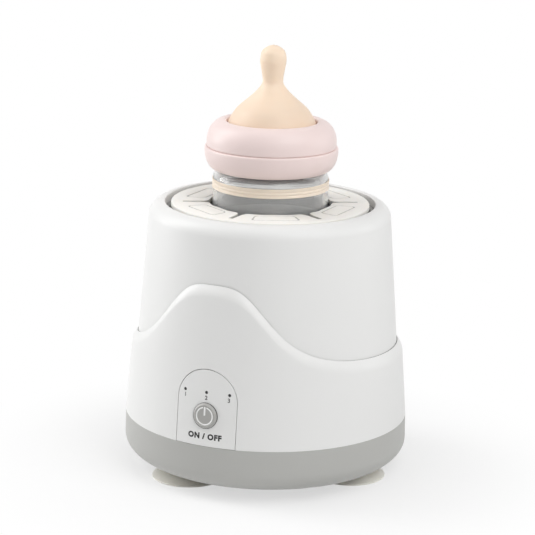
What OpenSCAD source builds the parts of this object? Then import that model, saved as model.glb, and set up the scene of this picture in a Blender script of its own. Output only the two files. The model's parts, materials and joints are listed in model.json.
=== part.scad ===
// Electric shaker for a feeding bottle, with the bottle standing in it.
// The front, with its button, faces -Y, and the origin lies on the table under the middle of the base.

/* [Shell] */
// Largest diameter of the base
base_d = 129.2; // [124:0.2:140]
// How much narrower the base is at its top seam, on the radius
rim_inset = 0.2; // [0:0.1:0.8]
// Height of the seam between base and skirt
base_h = 25.5; // [24:0.5:30]
// Gap under the base, which the feet fill
foot_h = 4; // [3:0.25:5]
// Width of the rounding under the base
base_round_w = 16; // [12:0.5:18]
// Height of the rounding under the base
base_round_h = 10.5; // [8:0.5:13]
// Height of the rim around the bottle opening
body_h = 123; // [118:1:130]
// Taper of the sides in degrees
draft = 4.5; // [3:0.1:5]
// How far the skirt stands out from the upper housing
ledge_w = 2.45; // [2:0.05:3]
// Radius of the shoulder at the top
shoulder_r = 6.5; // [4:0.5:8]
// Flat part of the rim, inside the shoulder
rim_flat = 0.8; // [0.4:0.1:2]
// Depth of the lip that hangs inside the rim
lip_h = 11; // [9:0.5:14]
// Wall of the shells
wall = 2.2; // [1.8:0.1:2.6]
// Thickness of the skirt's inner foot
skirt_foot = 2; // [1.5:0.1:3]

/* [Wave] */
// Height of the skirt's edge at the sides and the back
wave_low = 60; // [55:0.2:68]
// How much higher the edge is at the front
wave_rise = 36.6; // [25:0.1:42]
// Angle from the front, in degrees, at which half of the rise is left
wave_half = 28.2; // [22:0.1:34]
// Steepness of the wave
wave_power = 3.3; // [2.5:0.1:4.5]
// Height over which the skirt's edge slopes in
edge_drop = 3.2; // [3:0.1:11]
// Height of the rounding at the foot of that slope
edge_round = 2.2; // [0.4:0.1:2.8]

/* [Feet] */
// Diameter of a suction foot
foot_d = 33; // [26:0.5:36]
// Distance of the feet's middles inside the base's edge
foot_in = 22.3; // [21:0.1:28]
// Height of the hollow under a suction foot
foot_hollow = 1.4; // [0.8:0.1:1.6]
// Thickness of the foot's edge
foot_edge = 0.7; // [0.4:0.1:1.2]
// Width of the flat rim under a foot
foot_rim = 2.5; // [1.5:0.1:4]
// Width of the sloping edge on top of a foot
foot_slope = 4; // [3:0.1:5]
// Width of the shoulder around the foot's head
foot_shoulder = 3; // [2:0.1:4]
// Taper of the foot's head
foot_taper = 0.8; // [0.4:0.1:1.2]
// Diameter of the foot's neck, in its hole in the base
foot_neck_d = 7.2; // [5:0.2:9]
// Diameter of the foot's head, above the floor of the base
foot_head_d = 10.4; // [8:0.2:13]
// Height of the foot's head
foot_head_h = 2; // [1:0.2:3]

/* [Panel] */
// Width of the control panel
panel_w = 28.4; // [26:0.2:34]
// Height of the middle of the panel's arch
arch_z = 45.6; // [43:0.2:52]
// Height of the power button
button_z = 39.3; // [37:0.1:41]
// Diameter of the power button
button_d = 11.4; // [9:0.2:13]
// How far the button stands out
button_out = 1.2; // [0.1:0.1:2]
// Width of the button's bevel
button_edge = 0.9; // [0.3:0.1:1.5]
// Travel of the button
button_travel = 0.6; // [0.3:0.1:0.8]
// Length of the tube that guides the button
guide_len = 5.5; // [5:0.1:6.5]
// Wall of that tube
guide_wall = 1.4; // [1:0.1:2]
// Rim at the button's inner end that keeps it in the tube
button_rim = 1; // [0.6:0.1:1.2]
// Sideways distance of the outer lights from the button
light_x = 10.7; // [9:0.1:11.5]
// Height of the lights above the button
light_up = 10.4; // [9:0.1:12]
// Diameter of a light pipe
light_d = 1.4; // [1.2:0.1:2.4]
// Depth of the main board behind the panel's face
board_depth = 11.5; // [11:0.1:13]
// Width of the main board
board_w = 38; // [36:0.5:42]
// How far the main board reaches below the button
board_low = 10.5; // [9:0.5:11]
// How far the main board reaches above the button
board_high = 17; // [15:0.5:20]
// Thickness of both boards
board_t = 1.6; // [1.2:0.1:2]
// Width of the push switch
switch_w = 6.2; // [5:0.1:7]
// Height of the push switch
switch_h = 3.5; // [3:0.1:3.9]
// Diameter of the push switch's stem
stem_d = 3.4; // [2.5:0.1:4]
// How deep the stem sits in the switch at rest
stem_in = 0.3; // [0.2:0.1:0.4]
// Width of a lamp on the board
lamp_w = 2; // [1.5:0.1:2.4]
// Height of a lamp on the board
lamp_h = 1.4; // [1:0.1:2]

/* [Grip and cup] */
// Width of the gap between the grip ring and the rim
mouth_gap = 2.5; // [2:0.1:3.5]
// How far the grip ring lies below the rim
grip_recess = 0.2; // [0.1:0.1:1.5]
// Thickness of the grip ring
grip_t = 1.8; // [1.2:0.1:2.6]
// Number of petals
petals = 6; // [6:1:8]
// Direction of the first petal, in degrees from the front
petal_turn = 28.5; // [0:0.5:60]
// Width of the slits between the petals
slit_w = 1.8; // [0.6:0.1:2.6]
// Width of the slits' flared mouths
flare_w = 4.4; // [3:0.1:6]
// Length of the slits' flared mouths
flare_len = 5; // [3:0.1:7]
// Width of the uncut edge outside the slits
slit_end = 5.7; // [5.6:0.1:7]
// Distance of the moulded outline on a petal from the petal's inner edge
line_in = 2.6; // [1.5:0.1:4]
// Length of that outline, outwards
line_len = 8.4; // [6:0.1:9]
// Width of that outline at its inner end
line_near_w = 17.2; // [10:0.2:18]
// Width of that outline at its outer end
line_far_w = 21.2; // [12:0.2:22]
// Radius of its corners
line_round = 2; // [1:0.1:3]
// Width of its groove
line_w = 0.9; // [0.5:0.1:1.5]
// Depth of its groove
line_deep = 0.5; // [0.2:0.1:0.8]
// Height of the flange ring under the grip ring
flange_h = 8; // [6.5:0.5:9]
// Width of the flange ring
flange_w = 5.5; // [5:0.1:6]
// Thickness of the cup's top lip
cup_lip = 2.5; // [2:0.1:3]
// Height over which the cup flares
flare_h = 14; // [10:0.5:20]
// Room between the bottle and the cup
cup_room = 2; // [1:0.1:2.2]
// Wall of the cup
cup_wall = 2; // [1.5:0.1:2.2]
// Floor of the cup
cup_floor = 2.5; // [2:0.1:3.5]
// Height of the bosses under the cup
cup_boss_h = 3; // [2:0.1:4]
// Thickness of the pad in the cup
pad_t = 1.8; // [1:0.1:3]
// Thickness of the guide ring's foot
guide_foot = 2; // [1.5:0.1:2.5]
// How far the guide ring's top lies below the rim
guide_low = 3.5; // [2.6:0.1:5]

/* [Drive] */
// Tooth size of the gears
gear_module = 1.5; // [1.45:0.01:1.52]
// Teeth of the gear under the cup
gear_teeth = 43; // [42:1:44]
// Teeth of the pinion
pinion_teeth = 12; // [12:1:13]
// Play between the teeth
backlash = 0.25; // [0.15:0.01:0.4]
// Width of the gear
gear_w = 6; // [5:0.1:7]
// Distance of the gear from its bearing
gear_gap = 1; // [0.6:0.1:2]
// How far the pinion is wider than the gear at each side
pinion_over = 0.2; // [0.1:0.05:0.4]
// How far the motor's shaft reaches past the gear
shaft_over = 0.6; // [0.4:0.1:0.8]
// Diameter of the spindle
spindle_d = 8; // [7:0.1:8.4]
// Gap below and above the spindle
spindle_room = 0.3; // [0.2:0.05:0.4]
// Outer diameter of the bearing
bearing_d = 22; // [21:0.1:24]
// Width of the bearing
bearing_w = 7; // [6:0.1:8]
// Thickness of the bearing's rings
race_t = 1.7; // [1.4:0.05:2]
// Number of balls in the bearing
balls = 7; // [5:1:8]
// Height of the seat under the bearing
seat_h = 1.8; // [1.5:0.1:2.5]
// Width of the seat under the bearing
seat_lip = 2.2; // [1.5:0.1:2.6]
// Wall around the bearing
boss_wall = 2.5; // [2:0.1:4]
// Thickness of the clip under the bearing
clip_t = 0.8; // [0.5:0.05:1]
// Width of the clip under the bearing
clip_w = 2; // [1:0.1:2.4]
// Distance of the deck above the gear
deck_gap = 3; // [2.5:0.1:4]
// Thickness of the deck
deck_t = 2.5; // [2:0.1:3]
// Diameter of the motor
motor_d = 20.4; // [18:0.2:21]
// Length of the motor's can
motor_len = 27; // [22:0.5:32]
// Length of the motor's end cap
motor_cap = 3; // [2:0.1:4]
// Diameter of the motor's shaft
shaft_d = 2; // [1.6:0.1:2.6]
// Depth of the motor's shaft in the can
shaft_depth = 5; // [3:0.5:8]
// Diameter of the boss at the motor's face
motor_boss_d = 6; // [5:0.1:7]
// Height of that boss
motor_boss_h = 2; // [1.5:0.1:2]
// How much the motor's end cap is narrower, on the radius
cap_step = 0.5; // [0.3:0.1:1]
// Distance of the motor's screws from its shaft
motor_screw_x = 6.5; // [5.6:0.1:7.5]
// Width of the motor's two tags
tag_w = 2.4; // [2:0.1:3]
// Thickness of the tags
tag_t = 0.6; // [0.4:0.1:0.8]
// Height of the tags
tag_h = 4; // [3:0.1:5]
// Distance of the gear's screws from the spindle
gear_screw_out = 6; // [5.6:0.1:6.5]
// Distance of the deck from the housing's bosses
deck_room = 1; // [0.6:0.1:1.5]

/* [Power] */
// Diameter of a battery cell
cell_d = 14.2; // [10.5:0.1:14.5]
// Length of a battery cell
cell_len = 50; // [44:0.5:54]
// Height of a cell's end contact
cell_tip = 1; // [0.6:0.1:1.4]
// Depth of the holder's sockets
socket_h = 12; // [8:0.5:20]
// Wall and floor of the holder's sockets
socket_wall = 1.2; // [1:0.1:1.4]
// Thickness of the holder's screw tab
tab_t = 1.8; // [1.5:0.1:2.4]
// Width of the holder's screw tab
tab_w = 6; // [5:0.1:7]
// Room between the cup and the holder's sockets
cell_room = 2.6; // [2:0.1:3.2]
// Width of the charging socket
plug_w = 9; // [8:0.1:10]
// Height of the charging socket
plug_h = 3.2; // [2.8:0.1:3.6]
// Wall of the charging socket
plug_wall = 0.3; // [0.2:0.05:0.5]
// Length of the charging socket
plug_len = 7.4; // [6:0.1:9]
// How far the charging socket lies inside the base's face
plug_in = 0.5; // [0.4:0.1:1]
// Distance of the charging board behind the socket's mouth
plug_front = 5.1; // [4.8:0.1:5.6]
// Height of the charging board
charge_z = 11.2; // [10.5:0.1:12]
// Width of the charging board
charge_w = 20; // [18:0.5:22]
// Length of the charging board
charge_len = 15; // [13:0.5:17]

/* [Bottle] */
// Diameter of the bottle
bottle_d = 52; // [50:0.2:53]
// Wall of the bottle
glass_t = 2; // [1.5:0.1:2.5]
// Height of the bottle's straight side, to its shoulder
side_h = 105; // [102:0.1:108]
// Diameter of the bottle's neck
neck_d = 44.6; // [43:0.2:45]
// Height of the neck above the shoulder
neck_h = 12.1; // [11.5:0.1:13.5]
// How far the neck stands above the collar's seam
neck_over = 1.6; // [1:0.1:2.2]
// Radius of the bottle's lower edge
heel_r = 4; // [3:0.5:6]
// Height of the cream band
band_h = 4.2; // [3:0.1:5]
// Thickness of the cream band
band_t = 0.3; // [0.2:0.05:0.35]
// Distance of the band below the shoulder
band_low = 0.4; // [0.2:0.1:1]
// Diameter of the collar's lower ring
collar_d = 60.2; // [58:0.2:62]
// Height of the collar's lower ring
collar_low_h = 10.5; // [9.6:0.1:10.8]
// Width of the collar's lower face
collar_foot = 1.4; // [1:0.1:2]
// Height of the straight side at the collar's seam
collar_side = 1.6; // [1:0.1:2]
// Bevel at the collar's seam
collar_edge = 0.4; // [0.2:0.1:0.6]
// How much the upper ring is narrower, on the radius
collar_step = 0.9; // [0.5:0.1:1.4]
// Height of the collar's upper ring
collar_top_h = 11.7; // [11:0.1:13]
// Height of the straight side of the upper ring
dome_side = 2.6; // [2:0.1:3.5]
// Width of the flat top of the upper ring
dome_flat = 1.6; // [1.2:0.1:2]
// Bevel at the hole in the collar
dome_edge = 1.2; // [0.8:0.1:1.6]
// Diameter of the hole in the collar
collar_hole_d = 40.6; // [39.8:0.1:41.4]
// Thickness of the teat's flange
teat_flange = 2; // [1.6:0.1:2.4]
// Wall of the teat
teat_wall = 1.6; // [1.2:0.1:2]
// Height of the teat above its flange
teat_h = 41.9; // [40:0.1:46]
// Diameter of the teat's base
teat_d = 39.6; // [38.8:0.1:39.8]
// Diameter of the hole in the teat
teat_hole = 1.2; // [0.8:0.1:1.6]

/* [Fasteners] */
// Diameter of the larger screws
screw_d = 3; // [2.6:0.1:3.2]
// Head of the larger screws, diameter
head_d = 5.4; // [5:0.1:5.8]
// Head of the larger screws, height
head_h = 1.8; // [1.4:0.1:2.2]
// Diameter of the smaller screws
small_d = 2; // [1.6:0.1:2.2]
// Head of the smaller screws, diameter
small_head_d = 3.4; // [3:0.1:3.6]
// Head of the smaller screws, height
small_head_h = 1.3; // [1:0.1:1.4]
// Wall around a larger screw in its post
post_wall = 2.2; // [1.8:0.1:2.4]
// Wall around a smaller screw in its post
small_wall = 1.4; // [1.2:0.1:1.6]
// How deep the deck's screws go into their posts
deck_bite = 10; // [8:0.1:12]
// How deep the housing's screws go into their bosses
boss_bite = 13; // [10:0.5:14]
// How deep the flange's screws go
flange_bite = 5; // [4:0.1:5.5]
// How deep the heads of the gear's screws are sunk
head_sink = 0.4; // [0.2:0.1:0.6]
// How deep the smaller screws go into their posts
small_bite = 3.5; // [3:0.1:4]
// Depth left under a screw in its hole
bite_room = 0.5; // [0.4:0.1:1]
// Height of the housing's bosses
boss_h = 18; // [15:0.5:24]
// Distance of the housing's screws inside the seam
boss_in = 8.9; // [8.4:0.1:10]
// Distance of the flange's screws inside its edge
flange_screw_in = 2.3; // [2:0.1:2.6]

/* [Clearances] */
// Between shells that nest, and around the panel
shell_gap = 0.3; // [0.2:0.05:0.4]
// Around pieces that are pressed or bonded
press_gap = 0.05; // [0.03:0.01:0.08]
// Around the button and other pieces that slide
slide_gap = 0.15; // [0.1:0.01:0.2]
// Around the turning flange
spin_gap = 0.4; // [0.3:0.05:0.6]
// Around a screw in its clearance hole
screw_gap = 0.2; // [0.15:0.05:0.3]
// Around a screw in its pilot hole
pilot_gap = 0.05; // [0.03:0.01:0.08]
// Between the bottle and the petals
petal_gap = 0.5; // [0.4:0.05:0.8]
// Between the bottle and the petals' corners
corner_gap = 1.4; // [1:0.1:2.5]
// Between the collar and the bottle's neck
neck_gap = 1.2; // [1:0.1:1.5]

/* [Hidden] */
$fn = 96;
// How far a cut reaches past the surface it starts at
over = 1;
white = [0.93, 0.93, 0.92];
cream = [0.95, 0.93, 0.88];
grey = [0.62, 0.62, 0.6];
dark = [0.28, 0.28, 0.29];
beige = [0.72, 0.69, 0.64];
steel = [0.75, 0.76, 0.78];
brass = [0.8, 0.68, 0.36];
green = [0.12, 0.35, 0.2];
pink = [0.94, 0.87, 0.86];
amber = [0.94, 0.85, 0.72];
clear = [0.8, 0.85, 0.86, 0.4];

// Shell sizes that follow from the sections above
base_r = base_d / 2;
rim_r = base_r - rim_inset;
floor_z = foot_h + wall;
house_z = base_h + skirt_foot;
base_arc_x = base_r - base_round_w;
base_arc_z = foot_h + base_round_h;
function skirt_r(z) = rim_r - tan(draft) * (z - base_h);
function house_r(z) = skirt_r(z) - ledge_w;
arc_z = body_h - shoulder_r;
arc_start_z = arc_z + shoulder_r * sin(draft);
arc_x = house_r(arc_start_z) - shoulder_r * cos(draft);
mouth_r = arc_x - rim_flat;
skirt_in = house_r(house_z) - wall;
post_r = screw_d / 2 + post_wall;
small_post_r = small_d / 2 + small_wall;
boss_reach = rim_r - boss_in;
boss_spots = [45, 135, 225, 315];
foot_reach = base_r - foot_in;

// Stack of the drive, from the floor of the base upwards
bearing_r = bearing_d / 2;
spindle_r = spindle_d / 2;
bearing_z = floor_z + seat_h;
bearing_top = bearing_z + bearing_w;
gear_z = bearing_top + gear_gap;
gear_top = gear_z + gear_w;
cup_z = gear_top + cup_boss_h;
pad_z = cup_z + cup_floor;
bottle_z = pad_z + pad_t;
deck_z = gear_top + deck_gap;
deck_top = deck_z + deck_t;
race_in = spindle_r + press_gap + race_t;
race_out = bearing_r - race_t;
ball_r = (race_out - race_in) / 2 - press_gap;
gear_r = gear_module * gear_teeth / 2;
pinion_r = gear_module * pinion_teeth / 2;
motor_reach = gear_r + pinion_r;
motor_spot = 90;
gear_screw_reach = spindle_r + gear_screw_out;

// Cup and grip, which follow the bottle inside and the rim outside
bottle_r = bottle_d / 2;
cup_in = bottle_r + cup_room;
cup_r = cup_in + cup_wall;
petal_hole = bottle_r + petal_gap;
grip_r = mouth_r - mouth_gap;
grip_z = body_h - grip_recess - grip_t;
cup_top = grip_z - flange_h;
lip_z = cup_top - cup_lip;
flare_z = lip_z - flare_h;
flange_in = grip_r - flange_w;
flange_screw_reach = grip_r - flange_screw_in;
flange_spots = [15, 105, 195, 285];
cup_lip_r = grip_r - slide_gap;
guide_bottom = body_h - lip_h - guide_foot;
guide_screw_reach = mouth_r + wall / 2;
guide_spots = [60, 180, 300];

// Deck and what stands on it
deck_r = boss_reach - post_r - deck_room;
deck_post_reach = deck_r - post_r;
deck_spots = [60, 120, 240, 300];
cell_r = cell_d / 2;
cell_socket_r = cell_r + slide_gap + socket_wall;
cell_reach = cup_r + cell_room + cell_socket_r;
cell_spot = 270;
cell_side = cell_socket_r - socket_wall / 2;
cell_turn = asin(cell_side / cell_reach);
cell_z = deck_top + socket_wall;
// The holder's screw sits in the notch outside the two sockets
notch = sqrt((cell_socket_r + small_head_d / 2 + shell_gap) ^ 2 - cell_side ^ 2);
holder_screw_reach = cell_reach * cos(cell_turn) + notch;
tab_out = holder_screw_reach + small_post_r;

// Panel frame: its origin on the skirt's face at the button, its Z out of the face
panel_r = panel_w / 2;
button_r = button_d / 2;
guide_r = button_r + slide_gap;
button_back = guide_len + slide_gap + button_rim;
light_r = light_d / 2;
window_x = light_x + light_r + over;
window_low = guide_r + guide_wall + shell_gap;
window_high = light_up + light_r + over;
board_screw_x = board_w / 2 - small_post_r;
board_screw_low = small_post_r - board_low;
board_screw_high = board_high - small_post_r;
switch_face = switch_h - board_depth;
function face_drop(x) = skirt_r(button_z) - sqrt(skirt_r(button_z) ^ 2 - x ^ 2);

// Bottle sizes
neck_r = neck_d / 2;
shoulder_z = bottle_z + side_h;
shoulder_arc = bottle_r - neck_r;
neck_top = shoulder_z + shoulder_arc + neck_h;
collar_r = collar_d / 2;
collar_bore = neck_r + neck_gap;
collar_hole_r = collar_hole_d / 2;
collar_seam = neck_top - neck_over;
collar_z = collar_seam - collar_low_h;
teat_z = neck_top + teat_flange;
teat_r = teat_d / 2;
charge_end = base_r - plug_in - plug_front;
charge_screw_x = charge_w / 2 - small_post_r;
charge_screw_y = charge_end - charge_len + small_post_r;
plug_z = charge_z + board_t + plug_h / 2;

feet = ["foot_left", "foot_right", "foot_rear"];
foot_spots = [-30, 90, 210];
light_spots = [-light_x, 0, light_x];

// Shared shapes

// Places a shape at an angle from the front, with its own -Y pointing outwards
module spot(angle, reach, z = 0) {
    rotate([0, 0, angle])
        translate([0, -reach, z])
            children();
}

module ring(outer, inner, z0, z1) {
    rotate_extrude()
        polygon([[inner, z0], [outer, z0], [outer, z1], [inner, z1]]);
}

module panel_frame() {
    translate([0, -skirt_r(button_z), button_z])
        rotate([90 - draft, 0, 0])
            children();
}

// A flat shape with round ends
module stadium(w, h) {
    square([w - h, h], center = true);
    for (x = [-1, 1])
        translate([x * (w - h) / 2, 0])
            circle(d = h);
}

// A screw with its head above the origin and a hexagon socket in the head
module screw(d, len, head, height) {
    difference() {
        union() {
            translate([0, 0, -len])
                cylinder(d = d, h = len);
            cylinder(d = head, h = height);
        }
        translate([0, 0, height / 2])
            cylinder(d = head / 2, h = height, $fn = 6);
    }
}

function arc(x, z, rx, rz, from, to, steps) =
    [for (i = [0:steps]) let (a = from + (to - from) * i / steps) [x + rx * cos(a), z + rz * sin(a)]];

// Smooth curve through a few points
function curve_at(a, b, c, d, t) =
    0.5 * ((2 * b) + (c - a) * t + (2 * a - 5 * b + 4 * c - d) * t ^ 2 + (3 * b - a - 3 * c + d) * t ^ 3);
function curve(p, steps) = concat(
    [for (i = [0:len(p) - 2], k = [0:steps - 1])
        curve_at(p[max(i - 1, 0)], p[i], p[i + 1], p[min(i + 2, len(p) - 1)], k / steps)],
    [p[len(p) - 1]]
);

// Outline of the panel, seen along the panel frame
module arch(grow) {
    low = (base_h - button_z) / cos(draft) - over;
    up = (arch_z - button_z) / cos(draft);
    translate([-panel_r - grow, low])
        square([panel_w + 2 * grow, up - low]);
    translate([0, up])
        circle(r = panel_r + grow);
}

// Involute gear outline with one tooth pointing along +X
function involute(a) = tan(a) * 180 / PI - a;
function half_tooth(r, pitch_r, foot_r, teeth) =
    90 / teeth - backlash / 4 / pitch_r * 180 / PI + involute(20) - involute(acos(min(1, foot_r / r)));
module gear_outline(teeth, tip, root) {
    pitch_r = gear_module * teeth / 2;
    foot_r = pitch_r * cos(20);
    start_r = max(foot_r, pitch_r - root);
    flank = [for (i = [0:4]) start_r + (pitch_r + tip - start_r) * i / 4];
    polygon([for (k = [0:teeth - 1])
        let (
            mid = 360 * k / teeth,
            low = half_tooth(start_r, pitch_r, foot_r, teeth),
            base = [[pitch_r - root, low]],
            side = [for (r = flank) [r, half_tooth(r, pitch_r, foot_r, teeth)]],
            near = concat(base, side)
        )
        for (j = [0:2 * len(near) - 1])
            let (
                p = j < len(near) ? near[j] : near[2 * len(near) - 1 - j],
                turn = j < len(near) ? -p[1] : p[1]
            )
            [p[0] * cos(mid + turn), p[0] * sin(mid + turn)]
    ]);
}

// Base and feet

base_outer = concat(
    [[0, foot_h]],
    arc(base_arc_x, base_arc_z, base_round_w, base_round_h, -90, 0, 14),
    [[rim_r, base_h]]
);
base_inner = concat(
    [[rim_r - wall, base_h]],
    arc(base_arc_x, base_arc_z, base_round_w - wall, base_round_h - wall, 0, -90, 14),
    [[0, floor_z]]
);

module base_tray() {
    color(grey)
    difference() {
        intersection() {
            rotate_extrude()
                polygon(concat(
                    base_outer,
                    [[skirt_in - shell_gap, base_h], [skirt_in - shell_gap, house_z], [0, house_z]]
                ));
            union() {
                rotate_extrude()
                    polygon(concat(base_outer, base_inner));
                cylinder(r = bearing_r + boss_wall, h = bearing_top);
                for (a = deck_spots)
                    spot(a, deck_post_reach)
                        cylinder(r = post_r, h = deck_z);
                for (a = boss_spots)
                    spot(a, boss_reach)
                        cylinder(r = post_r, h = house_z);
                for (x = [-charge_screw_x, charge_screw_x])
                    translate([x, charge_screw_y, 0])
                        cylinder(r = small_post_r, h = charge_z);
            }
        }
        translate([0, 0, bearing_z])
            cylinder(r = bearing_r + press_gap, h = bearing_w + over);
        translate([0, 0, floor_z])
            cylinder(r = bearing_r - seat_lip, h = seat_h + over);
        for (a = deck_spots)
            spot(a, deck_post_reach, deck_z - deck_bite - bite_room)
                cylinder(d = screw_d + 2 * pilot_gap, h = deck_z);
        for (a = boss_spots)
            spot(a, boss_reach) {
                cylinder(d = screw_d + 2 * screw_gap, h = house_z + over);
                cylinder(d = head_d + 2 * screw_gap, h = base_arc_z);
            }
        for (x = [-charge_screw_x, charge_screw_x])
            translate([x, charge_screw_y, charge_z - small_bite - bite_room])
                cylinder(d = small_d + 2 * pilot_gap, h = charge_z);
        for (a = foot_spots)
            spot(a, foot_reach)
                cylinder(d = foot_neck_d + 2 * slide_gap, h = floor_z + over);
        translate([0, base_r + over, plug_z])
            rotate([90, 0, 0])
                linear_extrude(wall + 2 * over)
                    stadium(plug_w + 2 * shell_gap, plug_h + 2 * shell_gap);
    }
}

module suction_foot(angle) {
    color(beige)
    spot(angle, foot_reach)
        rotate_extrude()
            polygon([
                [0, foot_hollow],
                [foot_d / 2 - foot_rim, 0],
                [foot_d / 2, 0],
                [foot_d / 2, foot_edge],
                [foot_d / 2 - foot_slope, (foot_edge + foot_h) / 2],
                [foot_head_d / 2 + foot_shoulder, foot_h],
                [foot_neck_d / 2, foot_h],
                [foot_neck_d / 2, floor_z],
                [foot_head_d / 2, floor_z],
                [foot_head_d / 2 - foot_taper, floor_z + foot_head_h],
                [0, floor_z + foot_head_h]
            ]);
}

// Shells

function wave_z(a) = wave_low + wave_rise / (1 + (abs(a) / wave_half) ^ wave_power);

// Section of the skirt at an angle from the front, as radius and height
function skirt_section(a) =
    let (
        top = wave_z(a),
        bend = top - edge_drop,
        peak = [house_r(top) + shell_gap, top],
        corner = [skirt_r(bend), bend],
        high = corner + (peak - corner) * edge_round / edge_drop,
        low = [skirt_r(bend - edge_round), bend - edge_round]
    )
    concat(
        [[skirt_in, base_h], [skirt_r(base_h), base_h]],
        [for (t = [0:0.25:1]) low * (1 - t) ^ 2 + corner * 2 * t * (1 - t) + high * t ^ 2],
        [peak, [house_r(house_z) + shell_gap, house_z], [skirt_in, house_z]]
    );

module skirt_body() {
    steps = 120;
    size = len(skirt_section(0));
    points = [for (i = [0:steps - 1])
        let (a = 360 * i / steps - 180)
        for (p = skirt_section(a)) [p[0] * sin(a), -p[0] * cos(a), p[1]]];
    function at(i, j) = (i % steps) * size + j % size;
    faces = [for (i = [0:steps - 1], j = [0:size - 1])
        each [[at(i, j), at(i, j + 1), at(i + 1, j + 1)], [at(i, j), at(i + 1, j + 1), at(i + 1, j)]]];
    polyhedron(points, faces);
}

module wave_skirt() {
    color(white)
    difference() {
        skirt_body();
        panel_frame()
            translate([0, 0, -base_round_w])
                linear_extrude(base_round_w + over)
                    arch(shell_gap);
    }
}

house_outer = concat(
    [[house_r(house_z), house_z]],
    arc(arc_x, arc_z, shoulder_r, shoulder_r, draft, 90, 10),
    [[mouth_r, body_h]]
);
house_inner = concat(
    [[mouth_r, body_h - lip_h], [mouth_r + wall, body_h - lip_h], [mouth_r + wall, body_h - wall]],
    arc(arc_x, arc_z, shoulder_r - wall, shoulder_r - wall, 70, draft, 6),
    [[skirt_in, house_z]]
);

module upper_housing() {
    color(white)
    difference() {
        intersection() {
            rotate_extrude()
                polygon(concat([[0, house_z]], house_outer, [[0, body_h]]));
            union() {
                rotate_extrude()
                    polygon(concat(house_outer, house_inner));
                for (a = boss_spots)
                    spot(a, boss_reach, house_z)
                        cylinder(r = post_r, h = boss_h);
                panel_frame()
                    for (x = [-board_screw_x, board_screw_x], y = [board_screw_low, board_screw_high])
                        translate([x, y, -board_depth])
                            cylinder(r = small_post_r, h = board_depth);
            }
        }
        for (a = boss_spots)
            spot(a, boss_reach, house_z - over)
                cylinder(d = screw_d + 2 * pilot_gap, h = over + boss_bite + bite_room);
        panel_frame() {
            translate([-window_x, -window_low, -board_depth])
                linear_extrude(board_depth)
                    square([2 * window_x, window_low + window_high]);
            for (x = [-board_screw_x, board_screw_x], y = [board_screw_low, board_screw_high])
                translate([x, y, -board_depth - over])
                    cylinder(d = small_d + 2 * pilot_gap, h = over + small_bite + bite_room);
        }
        for (a = guide_spots)
            spot(a, guide_screw_reach, body_h - lip_h - over)
                cylinder(d = small_d / 2 + 2 * pilot_gap, h = over + small_bite + bite_room);
    }
}

// Front panel and its switch

module panel_shell(inset) {
    low = base_h + slide_gap;
    high = arch_z + panel_r + over;
    rotate_extrude()
        polygon([
            [house_r(low) + shell_gap - inset, low],
            [skirt_r(low), low],
            [skirt_r(high), high],
            [house_r(high) + shell_gap - inset, high]
        ]);
}

module control_panel() {
    color(white)
    difference() {
        union() {
            intersection() {
                panel_shell(0);
                panel_frame()
                    translate([0, 0, -base_round_w])
                        linear_extrude(base_round_w + over)
                            arch(0);
            }
            intersection() {
                panel_shell(guide_len + wall);
                panel_frame()
                    translate([0, 0, -guide_len])
                        cylinder(r = guide_r + guide_wall, h = guide_len + over);
            }
        }
        panel_frame() {
            translate([0, 0, -guide_len - over])
                cylinder(r = guide_r, h = guide_len + 2 * over);
            for (x = light_spots)
                translate([x, light_up, -board_depth])
                    cylinder(r = light_r + slide_gap, h = board_depth + over);
        }
    }
}

module power_button() {
    color(grey)
    panel_frame()
        rotate_extrude()
            polygon([
                [0, -button_back],
                [button_r + guide_wall / 2, -button_back],
                [button_r + guide_wall / 2, -button_back + button_rim],
                [button_r, -button_back + button_rim],
                [button_r, button_out - button_edge],
                [button_r - button_edge, button_out],
                [0, button_out]
            ]);
}

module switch_stem() {
    color(dark)
    panel_frame()
        translate([0, 0, switch_face - stem_in])
            cylinder(d = stem_d, h = stem_in - button_back - switch_face - press_gap);
}

module push_switch() {
    color(dark)
    panel_frame()
        difference() {
            translate([-switch_w / 2, -switch_w / 2, -board_depth])
                cube([switch_w, switch_w, switch_h]);
            translate([0, 0, switch_face - button_travel - 2 * stem_in])
                cylinder(d = stem_d + 2 * slide_gap, h = button_travel + 2 * stem_in + over);
        }
}

module light_pipe(x) {
    color(clear)
    panel_frame()
        translate([x, light_up, lamp_h + press_gap - board_depth])
            cylinder(r = light_r, h = board_depth - lamp_h - 2 * press_gap - face_drop(abs(x) + light_r));
}

module lamp(x) {
    color(cream)
    panel_frame()
        translate([x - lamp_w / 2, light_up - lamp_w / 2, -board_depth])
            cube([lamp_w, lamp_w, lamp_h]);
}

module main_board() {
    color(green)
    panel_frame()
        difference() {
            translate([-board_w / 2, -board_low, -board_depth - board_t])
                cube([board_w, board_low + board_high, board_t]);
            for (x = [-board_screw_x, board_screw_x], y = [board_screw_low, board_screw_high])
                translate([x, y, -board_depth - board_t - over])
                    cylinder(d = small_d + 2 * screw_gap, h = board_t + 2 * over);
        }
}

module board_screws() {
    color(steel)
    panel_frame()
        for (x = [-board_screw_x, board_screw_x], y = [board_screw_low, board_screw_high])
            translate([x, y, -board_depth - board_t])
                rotate([180, 0, 0])
                    screw(small_d, board_t + small_bite, small_head_d, small_head_h);
}

// Grip, cup and guide

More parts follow.
